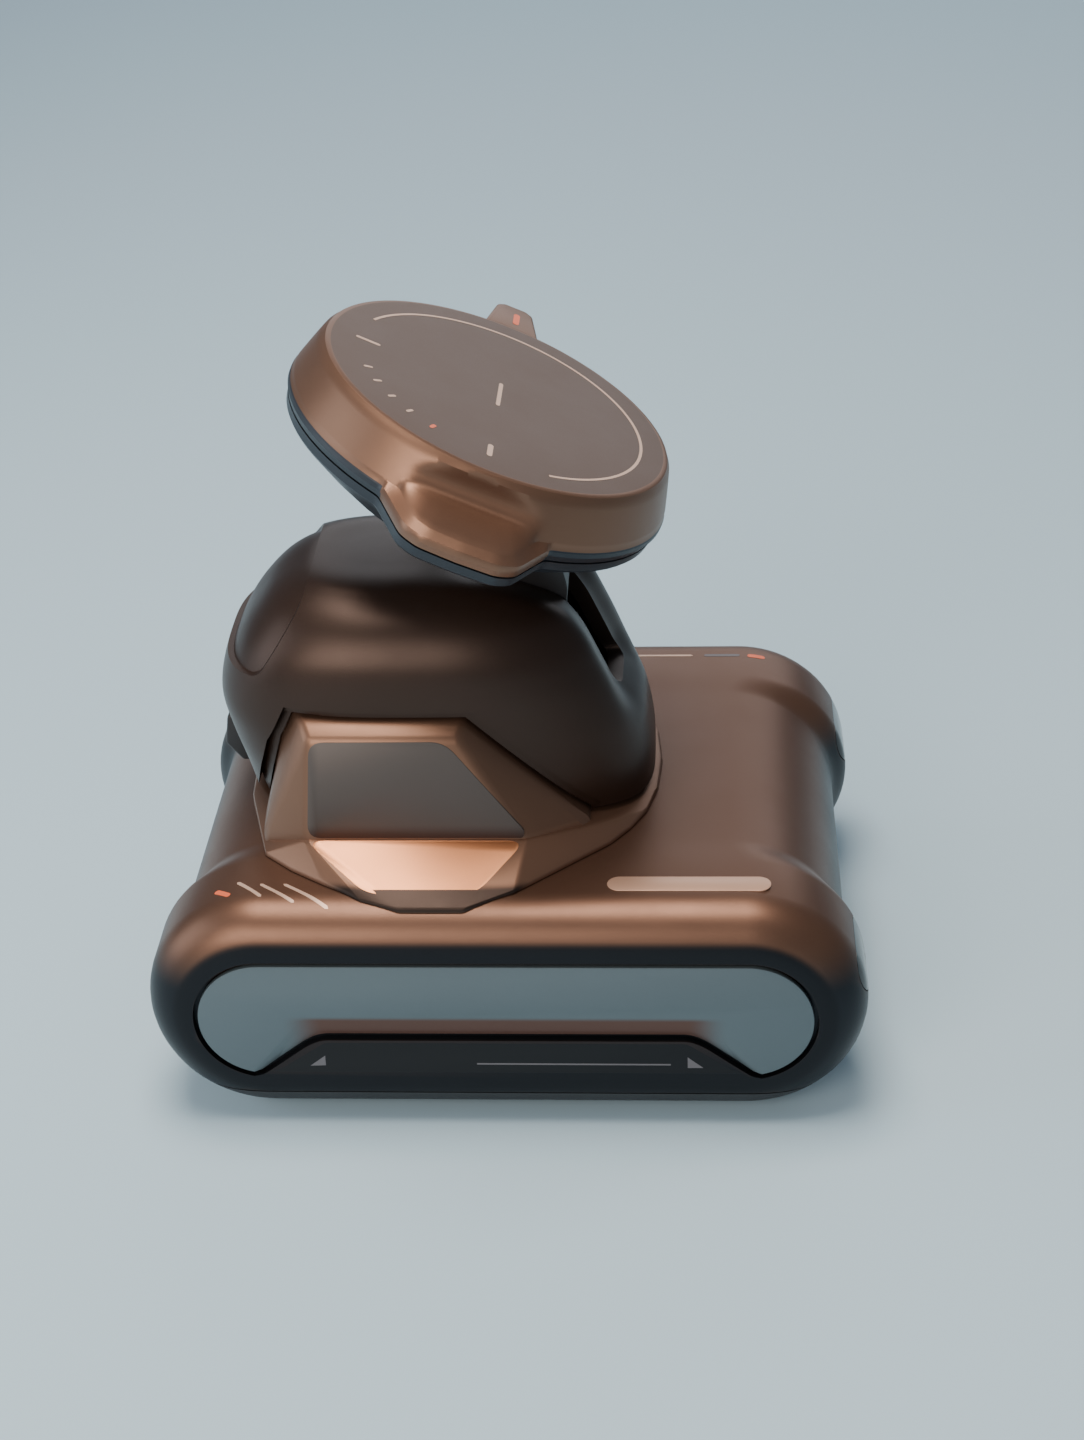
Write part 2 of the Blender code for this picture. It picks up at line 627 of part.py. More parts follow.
def pivot_frame():
    """The bracket on the deck: a foot plate, two cheeks for the pivot and the servo's seat."""
    foot = DECK_Z + GAP
    frame = box((-37.0, -14.0, foot), (14.5, 14.0, foot + 2.0))
    for side in (1, -1):
        low, high = sorted((side * CHEEK_Y, side * (CHEEK_Y + CHEEK_T)))
        outline = [(-5.0, foot + 1.0), (9.0, foot + 1.0)]
        outline += [(x, z) for x, z in arc((PIVOT[0], PIVOT[2]), 7.0, 0, 180, 10)]
        join(frame, prism(outline, low, high, "Y"))
        cut(frame, cylinder(3.0 + GAP, -30, 30, "Y", PIVOT, 20))
    join(frame, box((-29.5, -14.0, foot + 1.0), (-9.5, 5.5, 53.7)))
    cut(frame, box((-27.5, -12.0, 30.0), (-11.5, 3.5, 51.7)))
    join(frame, box((-32.9, -6.5, foot + 1.0), (-31.4, 6.5, 54.4)))
    cut(frame, box((-2.0, -5.0, 30.0), (6.0, 5.0, 50.0)))
    for x, y in deck_screw_spots():
        cut(frame, cylinder(HOLE_R, 30, foot + 6, "Z", (x, y, 0), 10))
    dress(frame, "pivot_frame", "black_plastic")


def frame_screws():
    top = DECK_Z + GAP + 2.0 + GAP
    for k, (x, y) in enumerate(deck_screw_spots(), 1):
        profile = ((0, 36.8), (0.85, 37.6), (0.85, top), (2.1, top), (2.1, top + 1.4), (0, top + 1.4))
        dress(lathe(profile, 12, "Z", (x, y, 0)), f"frame_screw_{k}", "steel")


def neck_drive(pivot_axis):
    pinion_x = PIVOT[0] - GEAR_CENTRES
    servo = box((-30.5, -15.6, 54.0), (-8.2, 6.5, 66.0))
    cut(servo, cylinder(2.6, 5.2, 20.0, "Y", (pinion_x, 0, PIVOT[2]), 16))
    dress(bevel(servo, 0.8), "tilt_servo", "servo_blue")

    pinion_axis = empty("pinion_axis", (pinion_x, 0.0, PIVOT[2]))
    pinion = prism(gear_outline(PINION_TEETH, 0.0), GEAR_Y, GEAR_Y + GEAR_W, "Y", pinion_axis)
    join(pinion, cylinder(2.2, 5.6, GEAR_Y + 1, "Y", segments=16, parent=pinion_axis))
    dress(pinion, "tilt_pinion", "white_nylon", 20)

    half_tooth = 180.0 / GEAR_TEETH
    gear = prism(gear_outline(GEAR_TEETH, 180.0 + half_tooth), GEAR_Y, GEAR_Y + GEAR_W, "Y",
                 pivot_axis)
    cut(gear, cylinder(PIN_R + GAP, 0, 20, "Y", segments=16, parent=pivot_axis))
    dress(gear, "neck_gear", "white_nylon", 20)

    pin = cylinder(PIN_R, -14.4, 14.4, "Y", segments=16, parent=pivot_axis)
    dress(pin, "pivot_pin", "steel")
    for name, side in (("left", 1), ("right", -1)):
        profile = [(PIN_R + GAP, side * 10.9), (3.0, side * 10.9), (3.0, side * 13.6),
                   (PIN_R + GAP, side * 13.6)]
        dress(lathe(profile, 20, "Y", PIVOT), f"pivot_bush_{name}", "white_nylon")


def arm_outline(grow=0.0):
    """The neck arm's side outline, measured from the pivot."""
    boss = arc((0.0, 0.0), 7.0 + grow, 180, 360, 12)
    rise = [(7.3 + grow, 8.0), (8.4 + grow, 19.5), (6.4 + grow, 27.5), (6.4 + grow, 32.0),
            (-5.6 - grow, 38.0),
            (-5.8 - grow, 20.0), (-6.6 - grow, 6.0)]
    return boss + rise


def neck_arm(pivot_axis, head_seat):
    """The arm and its flange, which lies on the floor of the head's back cover."""
    arm = prism(arm_outline(), -ARM_HALF_W, ARM_HALF_W, "Y", pivot_axis)
    cut(arm, box((-20, -20, HEAD_FLOOR - HEAD_DEPTH + 1.0), (40, 20, 30), head_seat))
    floor = HEAD_FLOOR - HEAD_DEPTH + GAP
    join(arm, box((-9, -8, floor), (18.6, 8, floor + 2.0), head_seat))
    join(arm, cylinder(5.0, GAP + ARM_HALF_W - 1, GEAR_Y - GAP, "Y", segments=20, parent=pivot_axis))
    cut(arm, cylinder(PIN_R + GAP, -30, 30, "Y", segments=16, parent=pivot_axis))
    for side in (1, -1):
        cut(arm, cylinder(1.1, -30, 0, "Z", (-5.5, side * 5.0, 0), 10, head_seat))
    dress(arm, "neck_arm", "dark_plastic")


# ---------------------------------------------------------------- head

def tab_points(bottom):
    """One wide finger tab: a top that slopes outward, and a bevelled rim round it."""
    top = [(12.3, 27.0, -5.0), (12.0, 31.0, -5.6), (8.0, 39.2, -7.5), (4.8, 40.2, -7.7)]
    rim = [(14.4, 28.5, -8.6), (8.9, 39.8, -9.0), (6.4, 41.3, -9.1)]
    foot = [(x, y, bottom) for x, y, z in rim] + [(14.4, 24.0, bottom), (12.3, 24.0, -5.0)]
    points = top + rim + foot
    return [(s * x, y, z) for x, y, z in points for s in (1, -1)]


def head_front_shell(seat):
    outer = ((0, 0), (FACE_R, 0), (30.3, -0.5), (31.5, -3.8), (32.5, -6.8), (33.0, -8.6),
             (32.9, -9.6), (32.3, HEAD_SPLIT_Z + GAP / 2), (0, HEAD_SPLIT_Z + GAP / 2))
    inner = ((0, -HEAD_WALL), (28.2, -HEAD_WALL), (30.4, -8.5), (30.3, -20), (0, -20))
    shell = lathe(outer, HEAD_SEGMENTS, parent=seat)
    bottom = HEAD_SPLIT_Z + GAP / 2
    right = [(x, -y, z) for x, y, z in tab_points(bottom)]
    join(shell, hull(tab_points(bottom), parent=seat), hull(right, parent=seat))
    ear = [(-5.2, 26.0, -0.3), (5.6, 26.0, -0.3), (-2.8, 39.4, -0.3), (-1.6, 40.3, -0.3),
           (2.4, 40.3, -0.3), (3.6, 39.4, -0.3)]
    ear += [(x * 1.15, y, -8.0) for x, y, z in ear]
    join(shell, hull(ear, parent=seat))
    cut(shell, lathe(inner, HEAD_SEGMENTS, parent=seat))
    for angle in HEAD_POST_ANGLES:
        x = HEAD_POST_R * math.cos(math.radians(angle))
        y = HEAD_POST_R * math.sin(math.radians(angle))
        top = HEAD_FLOOR - HEAD_DEPTH + GAP
        join(shell, cylinder(2.6, top, -1.0, "Z", (x, y, 0), 14, seat))
        cut(shell, cylinder(1.1, -30, -8.0, "Z", (x, y, 0), 10, seat))
    dress(shell, "head_front_shell", "bronze_plastic", 22)


def head_back_cover(seat, pivot_axis):
    top = HEAD_SPLIT_Z - GAP / 2
    outer = ((0, top), (32.3, top), (32.2, -12.4), (21.2, -HEAD_DEPTH), (0, -HEAD_DEPTH))
    floor = HEAD_FLOOR - HEAD_DEPTH
    inner = ((0, -5), (30.3, -5), (30.1, -12.0), (20.6, floor), (0, floor))
    cover = lathe(outer, HEAD_SEGMENTS, parent=seat)
    for side in (1, -1):
        rim = [(14.4, 24.0, top), (14.4, 28.5, top), (8.9, 39.8, top), (6.4, 41.3, top)]
        low = [(14.0, 28.0, -13.0), (8.6, 39.0, -13.0), (6.2, 40.4, -13.0), (5.0, 32.0, -16.5),
               (9.0, 22.0, -17.5)]
        points = [(s * x, side * y, z) for x, y, z in rim + low for s in (1, -1)]
        join(cover, hull(points, parent=seat))
    cut(cover, lathe(inner, HEAD_SEGMENTS, parent=seat))
    for angle in HEAD_POST_ANGLES:
        spot = (HEAD_POST_R * math.cos(math.radians(angle)),
                HEAD_POST_R * math.sin(math.radians(angle)), 0)
        cut(cover, cylinder(1.1, -30, 0, "Z", spot, 10, seat))
        cut(cover, cylinder(2.5, -30, -18.5, "Z", spot, 14, seat))
    for side in (1, -1):
        spot = (-5.5, side * 5.0, 0)
        cut(cover, cylinder(1.1, -30, 0, "Z", spot, 10, seat))
        cut(cover, cylinder(2.5, -30, -18.5, "Z", spot, 14, seat))
    cut(cover, prism(arm_outline(0.4), -ARM_HALF_W - 0.4, ARM_HALF_W + 0.4, "Y", pivot_axis))
    dress(cover, "head_back_cover", "dark_plastic", 25)


def head_inside(seat):
    magnet = ((22.8, -2.3), (27.4, -2.3), (27.4, -4.6), (22.8, -4.6))
    dress(lathe(magnet, HEAD_SEGMENTS, parent=seat), "magnet_ring", "magnet")
    yoke = ((21.2, -4.9), (28.2, -4.9), (28.2, -5.9), (21.2, -5.9))
    dress(lathe(yoke, HEAD_SEGMENTS, parent=seat), "magnet_yoke", "steel")
    spots = [(HEAD_POST_R * math.cos(math.radians(a)), HEAD_POST_R * math.sin(math.radians(a)))
             for a in HEAD_POST_ANGLES]
    spots += [(-5.5, 5.0), (-5.5, -5.0)]
    names = ["head_screw_1", "head_screw_2", "head_screw_3", "neck_screw_1", "neck_screw_2"]
    for name, (x, y) in zip(names, spots):
        tip = -10.5 if name.startswith("head") else -15.5
        profile = ((0, -19.8), (2.1, -19.8), (2.1, -18.8), (0.8, -18.8), (0.8, tip), (0, tip + 0.6))
        dress(lathe(profile, 12, centre=(x, y, 0), parent=seat), name, "steel")


# ---------------------------------------------------------------- assembly

def main():
    clear_scene()
    base_top_shell()
    base_bottom_shell()
    base_screws()
    side_panels()
    headlights()
    electronics()
    battery_tray()
    drive_side("left", 1)
    drive_side("right", -1)
    caster("front", CASTER_X)
    caster("rear", -CASTER_X)
    hump_fairing()
    neck_cover()
    power_button()
    pivot_frame()
    frame_screws()
    pivot_axis = empty("neck_tilt_axis", PIVOT)
    offset = [HEAD_CENTRE[k] - PIVOT[k] for k in range(3)]
    head_seat = empty("head_seat", offset, pivot_axis, HEAD_TILT_DEG)
    neck_drive(pivot_axis)
    neck_arm(pivot_axis, head_seat)
    head_front_shell(head_seat)
    head_back_cover(head_seat, pivot_axis)
    head_inside(head_seat)
    bpy.context.view_layer.update()


main()
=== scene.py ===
"""Looks of the two-wheel desktop robot, built round its fixed frame.

Lengths in this file are millimetres until piece() turns them into metres. +X is the robot's
front, +Y its left and +Z up. Head pieces are built on the plate's own axes, with its face at Z = 0.
"""
import json
import math

import bmesh
import bpy
import numpy as np
from mathutils import Matrix, Vector


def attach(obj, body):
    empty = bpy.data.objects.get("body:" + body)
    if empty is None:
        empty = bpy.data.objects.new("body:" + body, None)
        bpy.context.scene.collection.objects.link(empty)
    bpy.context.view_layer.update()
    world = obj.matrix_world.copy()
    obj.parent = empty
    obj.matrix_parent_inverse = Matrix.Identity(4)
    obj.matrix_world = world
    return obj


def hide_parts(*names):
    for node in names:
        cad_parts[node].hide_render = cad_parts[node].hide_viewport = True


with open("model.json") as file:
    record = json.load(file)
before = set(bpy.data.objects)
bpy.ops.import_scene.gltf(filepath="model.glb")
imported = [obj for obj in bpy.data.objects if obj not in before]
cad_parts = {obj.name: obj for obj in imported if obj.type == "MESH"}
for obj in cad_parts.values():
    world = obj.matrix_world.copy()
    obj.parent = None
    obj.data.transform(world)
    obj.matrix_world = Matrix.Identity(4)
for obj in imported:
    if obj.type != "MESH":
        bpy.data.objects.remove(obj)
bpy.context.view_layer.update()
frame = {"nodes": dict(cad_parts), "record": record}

MM = 0.001
BASE_MID_Z = 21.55
BASE_R = 20.35
DECK_Z = 41.9
HALF_L = 60.0
HALF_W = 48.5
EDGE_R = 8.0
NOSE_SET = 3.0
POD_EDGE = 28.0
POD_BLEND = 7.0
SPLIT_Z = 6.5
WALL = 2.4
PIVOT = (2.0, 0.0, 60.0)
HEAD_CENTRE = (0.0, 0.0, 112.0)
HEAD_TILT = math.radians(24)
HEAD_MATRIX = Matrix.Translation(HEAD_CENTRE) @ Matrix.Rotation(HEAD_TILT, 4, "Y")
LIP_R = 33.0
RIM_Z = -7.5
WHEEL_Y = 37.0
WHEEL_R = 13.0
CASTER_X = 39.0
CASTER_R = 4.0
PRINT_LIFT = 0.035
PRINT_DEPTH = 0.1
COVER_WALL = 2.0
COVER_FIT = 0.28
SLOT_HALF_W = 6.2
SLOT_FLOOR_Z = 61.0
FLOOR_HALF_M = 3.0
FINE = 1
PLACES = {"X": lambda a, b, t: (t, a, b), "Y": lambda a, b, t: (a, t, b),
          "Z": lambda a, b, t: (a, b, t)}


# ---------------------------------------------------------------- materials

def position_mask(nodes, links, place, limits):
    """1 inside the limits and 0 outside: each is (axis, use the distance from 0, start, end) in mm."""
    split = nodes.new("ShaderNodeSeparateXYZ")
    links.new(place.outputs["Object"], split.inputs[0])
    total = None
    for axis, distance, start, end in limits:
        value = split.outputs[axis]
        if distance:
            size = nodes.new("ShaderNodeMath")
            size.operation = "ABSOLUTE"
            links.new(value, size.inputs[0])
            value = size.outputs[0]
        fade = nodes.new("ShaderNodeMapRange")
        fade.interpolation_type = "SMOOTHSTEP"
        fade.inputs["From Min"].default_value = start * MM
        fade.inputs["From Max"].default_value = end * MM
        links.new(value, fade.inputs["Value"])
        if total is None:
            total = fade.outputs["Result"]
        else:
            both = nodes.new("ShaderNodeMath")
            both.operation = "MULTIPLY"
            links.new(total, both.inputs[0])
            links.new(fade.outputs["Result"], both.inputs[1])
            total = both.outputs[0]
    return total


def finish(name, colour, roughness, metallic=0.0, grain=900.0, bump=0.06, spread=0.06,
           tone=0.10, coat=0.0, edge_highlight=0.0, specular=0.5, tints=()):
    """A moulded or lacquered surface: fine grain, uneven gloss, slight tone changes, and edges lightened
    as a painted highlight.
    """
    mat = bpy.data.materials.new(name)
    mat.use_nodes = True
    nodes = mat.node_tree.nodes
    links = mat.node_tree.links
    shader = nodes["Principled BSDF"]
    shader.inputs["Metallic"].default_value = metallic
    shader.inputs["Specular IOR Level"].default_value = specular
    shader.inputs["Coat Weight"].default_value = coat
    shader.inputs["Coat Roughness"].default_value = 0.12
    place = nodes.new("ShaderNodeTexCoord")

    def noise(scale, detail, rough=0.5):
        node = nodes.new("ShaderNodeTexNoise")
        node.inputs["Scale"].default_value = scale
        node.inputs["Detail"].default_value = detail
        node.inputs["Roughness"].default_value = rough
        links.new(place.outputs["Object"], node.inputs["Vector"])
        return node

    fine = noise(grain * 4, 3, 0.6)
    broad = noise(28, 4)
    smudge = noise(90, 6, 0.65)

    gloss = nodes.new("ShaderNodeMapRange")
    gloss.inputs["From Min"].default_value = 0.3
    gloss.inputs["From Max"].default_value = 0.7
    gloss.inputs["To Min"].default_value = roughness - spread
    gloss.inputs["To Max"].default_value = roughness + spread
    blend = nodes.new("ShaderNodeMath")
    blend.operation = "MULTIPLY_ADD"
    blend.inputs[1].default_value = 0.5
    links.new(fine.outputs["Fac"], blend.inputs[0])
    half = nodes.new("ShaderNodeMath")
    half.operation = "MULTIPLY"
    half.inputs[1].default_value = 0.5
    links.new(smudge.outputs["Fac"], half.inputs[0])
    links.new(half.outputs[0], blend.inputs[2])
    links.new(blend.outputs[0], gloss.inputs["Value"])
    links.new(gloss.outputs["Result"], shader.inputs["Roughness"])

    base = nodes.new("ShaderNodeMix")
    base.data_type = "RGBA"
    dark = [c * (1 - tone) for c in colour]
    light = [min(1.0, c * (1 + tone)) for c in colour]
    base.inputs["A"].default_value = (*dark, 1)
    base.inputs["B"].default_value = (*light, 1)
    mixer = nodes.new("ShaderNodeMath")
    mixer.operation = "MULTIPLY_ADD"
    mixer.inputs[1].default_value = 0.6
    links.new(broad.outputs["Fac"], mixer.inputs[0])
    speck = nodes.new("ShaderNodeMath")
    speck.operation = "MULTIPLY"
    speck.inputs[1].default_value = 0.4
    links.new(fine.outputs["Fac"], speck.inputs[0])
    links.new(speck.outputs[0], mixer.inputs[2])
    links.new(mixer.outputs[0], base.inputs["Factor"])
    out = base.outputs["Result"]

    for tint, limits in tints:
        second = nodes.new("ShaderNodeMix")
        second.data_type = "RGBA"
        second.inputs["B"].default_value = (*tint, 1)
        links.new(position_mask(nodes, links, place, limits), second.inputs["Factor"])
        links.new(out, second.inputs["A"])
        out = second.outputs["Result"]

    # Painted highlight: convex edges are lightened towards 1.9 times the base colour, standing in for
    # light catching them.
    if edge_highlight:
        geometry = nodes.new("ShaderNodeNewGeometry")
        edge = nodes.new("ShaderNodeMapRange")
        edge.inputs["From Min"].default_value = 0.52
        edge.inputs["From Max"].default_value = 0.62
        edge.inputs["To Max"].default_value = edge_highlight
        links.new(geometry.outputs["Pointiness"], edge.inputs["Value"])
        lit_edges = nodes.new("ShaderNodeMix")
        lit_edges.data_type = "RGBA"
        lit_edges.inputs["B"].default_value = (*[min(1.0, c * 1.9 + 0.01) for c in colour], 1)
        links.new(edge.outputs["Result"], lit_edges.inputs["Factor"])
        links.new(out, lit_edges.inputs["A"])
        out = lit_edges.outputs["Result"]
    links.new(out, shader.inputs["Base Color"])

    height = nodes.new("ShaderNodeBump")
    height.inputs["Strength"].default_value = bump
    height.inputs["Distance"].default_value = 0.0001
    links.new(fine.outputs["Fac"], height.inputs["Height"])
    links.new(height.outputs["Normal"], shader.inputs["Normal"])
    return mat


# The 0.25 edge amount given to the base, bronze and hump lacquers sets the strength of their painted
# edge highlight.
LOOKS = {
    # Painted shade: below the shoulder (z 35.5 down to 27 mm) and on its outermost sides the base's
    # bronze turns near black-blue, standing in for shade and dark reflections on faces turned away from
    # the overhead light.
    "base": finish("base_lacquer_painted_light", (0.150, 0.078, 0.051), 0.40, 0.75, bump=0.10, spread=0.05,
                   edge_highlight=0.25, tints=(((0.016, 0.018, 0.022), (("Z", False, 35.5, 27.0),)),
                                     ((0.012, 0.013, 0.016), (("Y", True, 47.7, 48.25),)))),
    "bronze": finish("bronze_lacquer_edge_highlight", (0.200, 0.108, 0.070), 0.40, 0.75, bump=0.10, spread=0.05,
                     edge_highlight=0.25),
    # Painted shade: the hump's lowest outer strip, just above the deck, is darkened to stand in for the
    # shade where it meets the deck.
    "hump": finish("hump_lacquer_painted_light", (0.200, 0.108, 0.070), 0.40, 0.75, bump=0.10, spread=0.05,
                   edge_highlight=0.25, tints=(((0.030, 0.019, 0.015),
                                      (("Z", False, 43.4, 42.7), ("Y", True, 38.5, 41.0))),)),
    "plate": finish("plate_lacquer", (0.112, 0.075, 0.060), 0.50, 0.40, bump=0.10, spread=0.05),
    "hex": finish("hex_lacquer", (0.082, 0.068, 0.062), 0.48, 0.35, bump=0.10, spread=0.05,
                  tints=(((0.045, 0.022, 0.016), (("Z", False, 49.0, 46.6),)),)),
    # Painted highlight: the hump's lower facet gets a far lighter, more metallic copper than the hump's
    # bronze, standing in for the key light it catches.
    "facet": finish("copper_facet_painted_highlight", (0.86, 0.36, 0.17), 0.38, 0.92, bump=0.10, spread=0.05),
    "cover": finish("cover_brown", (0.042, 0.023, 0.016), 0.38, 0.60, bump=0.14, spread=0.05),
    # Painted reflection: below z 21.4 mm and within 30 mm of the middle, the panel turns reddish brown
    # with soft ends, standing in for the brown body reflected in it.
    "panel": finish("panel_grey_blue_painted_reflection", (0.105, 0.135, 0.150), 0.38, 0.40, bump=0.08, spread=0.04,
                    tints=(((0.095, 0.045, 0.033),
                            (("Z", False, 22.6, 21.4), ("X", True, 37.0, 30.0))),)),
    "under": finish("underbody_black", (0.016, 0.016, 0.018), 0.5, 0.0, bump=0.25, spread=0.06),
    "sill": finish("sill_black", (0.008, 0.009, 0.011), 0.42, 0.0, bump=0.08, spread=0.04,
                   specular=0.22),
    "back": finish("back_blue_black", (0.020, 0.025, 0.033), 0.42, 0.25, bump=0.15, spread=0.05),
    "arm": finish("arm_black", (0.022, 0.020, 0.021), 0.45, 0.2, bump=0.14),
    "lens": finish("smoked_lens", (0.004, 0.004, 0.006), 0.12, 0.0, bump=0.0, spread=0.02,
                   specular=0.25),
    "rubber": finish("tyre_rubber", (0.022, 0.022, 0.022), 0.82, 0.0, bump=0.5, spread=0.08,
                     grain=500),
    "nylon": finish("nylon_white", (0.70, 0.69, 0.64), 0.45, 0.0, bump=0.1, tone=0.04),
    "steel": finish("steel", (0.55, 0.55, 0.56), 0.26, 1.0, bump=0.05, tone=0.05, spread=0.08),
    "magnet": finish("nickel", (0.45, 0.45, 0.47), 0.22, 1.0, bump=0.03, tone=0.04),
    "board": finish("board_green", (0.015, 0.10, 0.045), 0.42, 0.0, bump=0.1, coat=0.4),
    "cell": finish("cell_foil", (0.50, 0.52, 0.55), 0.38, 0.7, bump=0.2),
    "servo": finish("servo_blue", (0.025, 0.05, 0.14), 0.32, 0.0, bump=0.06),
    "print": finish("print_copper", (0.62, 0.42, 0.32), 0.42, 0.4, bump=0.04, tone=0.05),
    "pill": finish("pill_copper", (0.56, 0.34, 0.24), 0.40, 0.5, bump=0.10, tone=0.06),
    "orange": finish("print_orange", (0.70, 0.13, 0.05), 0.45, 0.0, bump=0.04, tone=0.05),
    "grey_print": finish("print_grey", (0.13, 0.12, 0.13), 0.5, 0.2, bump=0.04, tone=0.05),
}

SLOT_LOOKS = {
    "bronze_plastic": "bronze", "dark_plastic": "cover", "panel_grey": "panel",
    "black_plastic": "under", "smoked_lens": "lens", "rubber": "rubber", "white_nylon": "nylon",
    "steel": "steel", "magnet": "magnet", "board_green": "board", "cell_silver": "cell",
    "servo_blue": "servo",
}


# ---------------------------------------------------------------- mesh helpers

def raw_object(name, bm):
    bmesh.ops.recalc_face_normals(bm, faces=bm.faces)
    mesh = bpy.data.meshes.new(name)
    bm.to_mesh(mesh)
    bm.free()
    obj = bpy.data.objects.new(name, mesh)
    bpy.context.collection.objects.link(obj)
    return obj


def loft(rings):
    """Skin equal rings of points and close both ends."""
    bm = bmesh.new()
    loops = [[bm.verts.new(p) for p in ring] for ring in rings]
    count = len(rings[0])
    for near, far in zip(loops, loops[1:]):
        for k in range(count):
            after = (k + 1) % count
            bm.faces.new((near[k], near[after], far[after], far[k]))
    bm.faces.new(loops[0])
    bm.faces.new(loops[-1])
    return raw_object("loft", bm)


def prism(outline, low, high, axis):
    place = PLACES[axis]
    return loft([[place(a, b, t) for a, b in outline] for t in (low, high)])


def box(low, high):
    outline = ((low[0], low[1]), (high[0], low[1]), (high[0], high[1]), (low[0], high[1]))
    return prism(outline, low[2], high[2], "Z")


def lathe(profile, segments, axis="Z", centre=(0, 0, 0)):
    """Turn (radius, height) points about an axis; a profile off the axis makes a ring."""
    bm = bmesh.new()
    place = PLACES[axis]
    loops = []
    for radius, height in profile:
        count = segments if radius > 1e-6 else 1
        loops.append([bm.verts.new(Vector(place(radius * math.sin(2 * math.pi * k / segments),
                                                -radius * math.cos(2 * math.pi * k / segments),
                                                height)) + Vector(centre)) for k in range(count)])
    pairs = list(zip(loops, loops[1:]))
    if len(loops[0]) > 1:
        pairs.append((loops[-1], loops[0]))
    for near, far in pairs:
        for k in range(segments):
            after = (k + 1) % segments
            corners = [near[k % len(near)], near[after % len(near)],
                       far[after % len(far)], far[k % len(far)]]
            unique = list(dict.fromkeys(corners))
            if len(unique) > 2:
                bm.faces.new(unique)
    return raw_object("turned", bm)


def cylinder(radius, low, high, axis="Z", centre=(0, 0, 0), segments=48):
    return lathe(((0, low), (radius, low), (radius, high), (0, high)), segments, axis, centre)


def hull(points):
    bm = bmesh.new()
    for point in points:
        bm.verts.new(point)
    result = bmesh.ops.convex_hull(bm, input=bm.verts)
    loose = [item for item in result["geom_interior"] if isinstance(item, bmesh.types.BMVert)]
    bmesh.ops.delete(bm, geom=loose, context="VERTS")
    bmesh.ops.dissolve_limit(bm, angle_limit=math.radians(1.5), verts=bm.verts, edges=bm.edges)
    return raw_object("hull", bm)


def apply_modifiers(obj):
    graph = bpy.context.evaluated_depsgraph_get()
    mesh = bpy.data.meshes.new_from_object(obj.evaluated_get(graph))
    obj.modifiers.clear()
    obj.data = mesh
    return obj


def combine(target, tool, operation):
    boolean = target.modifiers.new("Boolean", "BOOLEAN")
    boolean.operation = operation
    boolean.solver = "EXACT"
    boolean.object = tool
    apply_modifiers(target)
    bpy.data.objects.remove(tool, do_unlink=True)
    return target


def cut(target, *tools):
    for tool in tools:
        combine(target, tool, "DIFFERENCE")
    return target


def join(target, *tools):
    for tool in tools:
        combine(target, tool, "UNION")
    return target


def bevel(obj, width, segments=3, angle_deg=25.0):
    modifier = obj.modifiers.new("Bevel", "BEVEL")
    modifier.width = width
    modifier.segments = segments
    modifier.limit_method = "ANGLE"
    modifier.angle_limit = math.radians(angle_deg)
    modifier.use_clamp_overlap = True
    return apply_modifiers(obj)


def piece(obj, name, look, body, replaces=(), smooth_deg=30.0, matrix=None):
    """Scale a finished mesh to metres, dress it and let it ride on its body."""
    if matrix is not None:
        obj.data.transform(matrix)
    obj.data.transform(Matrix.Scale(MM, 4))
    obj.name = name
    obj.data.name = name
    obj.data.materials.clear()
    obj.data.materials.append(LOOKS[look])
    obj.data.shade_smooth()
    if smooth_deg < 180:
        obj.data.set_sharp_from_angle(angle=math.radians(smooth_deg))
    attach(obj, body)
    if replaces:
        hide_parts(*replaces)
    return obj


def arc(centre, radius, start_deg, end_deg, steps):
    angles = [math.radians(start_deg + (end_deg - start_deg) * k / steps) for k in range(steps + 1)]
    return [(centre[0] + radius * math.cos(a), centre[1] + radius * math.sin(a)) for a in angles]


def obround(centre, width, height, steps=16):
    reach = (width - height) / 2
    right = arc((centre[0] + reach, centre[1]), height / 2, -90, 90, steps)
    left = arc((centre[0] - reach, centre[1]), height / 2, 90, 270, steps)
    return right + left


def offset_outline(points, distance):
    moved = []
    count = len(points)
    for k, point in enumerate(points):
        here = Vector(point)
        before = (here - Vector(points[k - 1])).normalized()
        after = (Vector(points[(k + 1) % count]) - here).normalized()
        normal = Vector((before.y + after.y, -before.x - after.x)).normalized()
        spread = max(0.5, normal.dot(Vector((before.y, -before.x))))
        moved.append(tuple(here + normal * (distance / spread)))
    return moved


def rounded(points, radius, steps=5):
    """Round every corner of a closed outline."""
    out = []
    count = len(points)
    for k, point in enumerate(points):
        here = Vector(point)
        before = Vector(points[k - 1]) - here
        after = Vector(points[(k + 1) % count]) - here
        reach = min(radius, before.length * 0.45, after.length * 0.45)
        start = here + before.normalized() * reach
        end = here + after.normalized() * reach
        for j in range(steps + 1):
            t = j / steps
            out.append(tuple(start * (1 - t) ** 2 + here * 2 * t * (1 - t) + end * t ** 2))
    return out


def both_sides(points):
    mirrored = [(x, side * y, z) for x, y, z in points for side in (1, -1)]
    return list(dict.fromkeys(mirrored))


def smooth_step(t):
    t = min(1.0, max(0.0, t))
    return t * t * (3 - 2 * t)


# ---------------------------------------------------------------- base

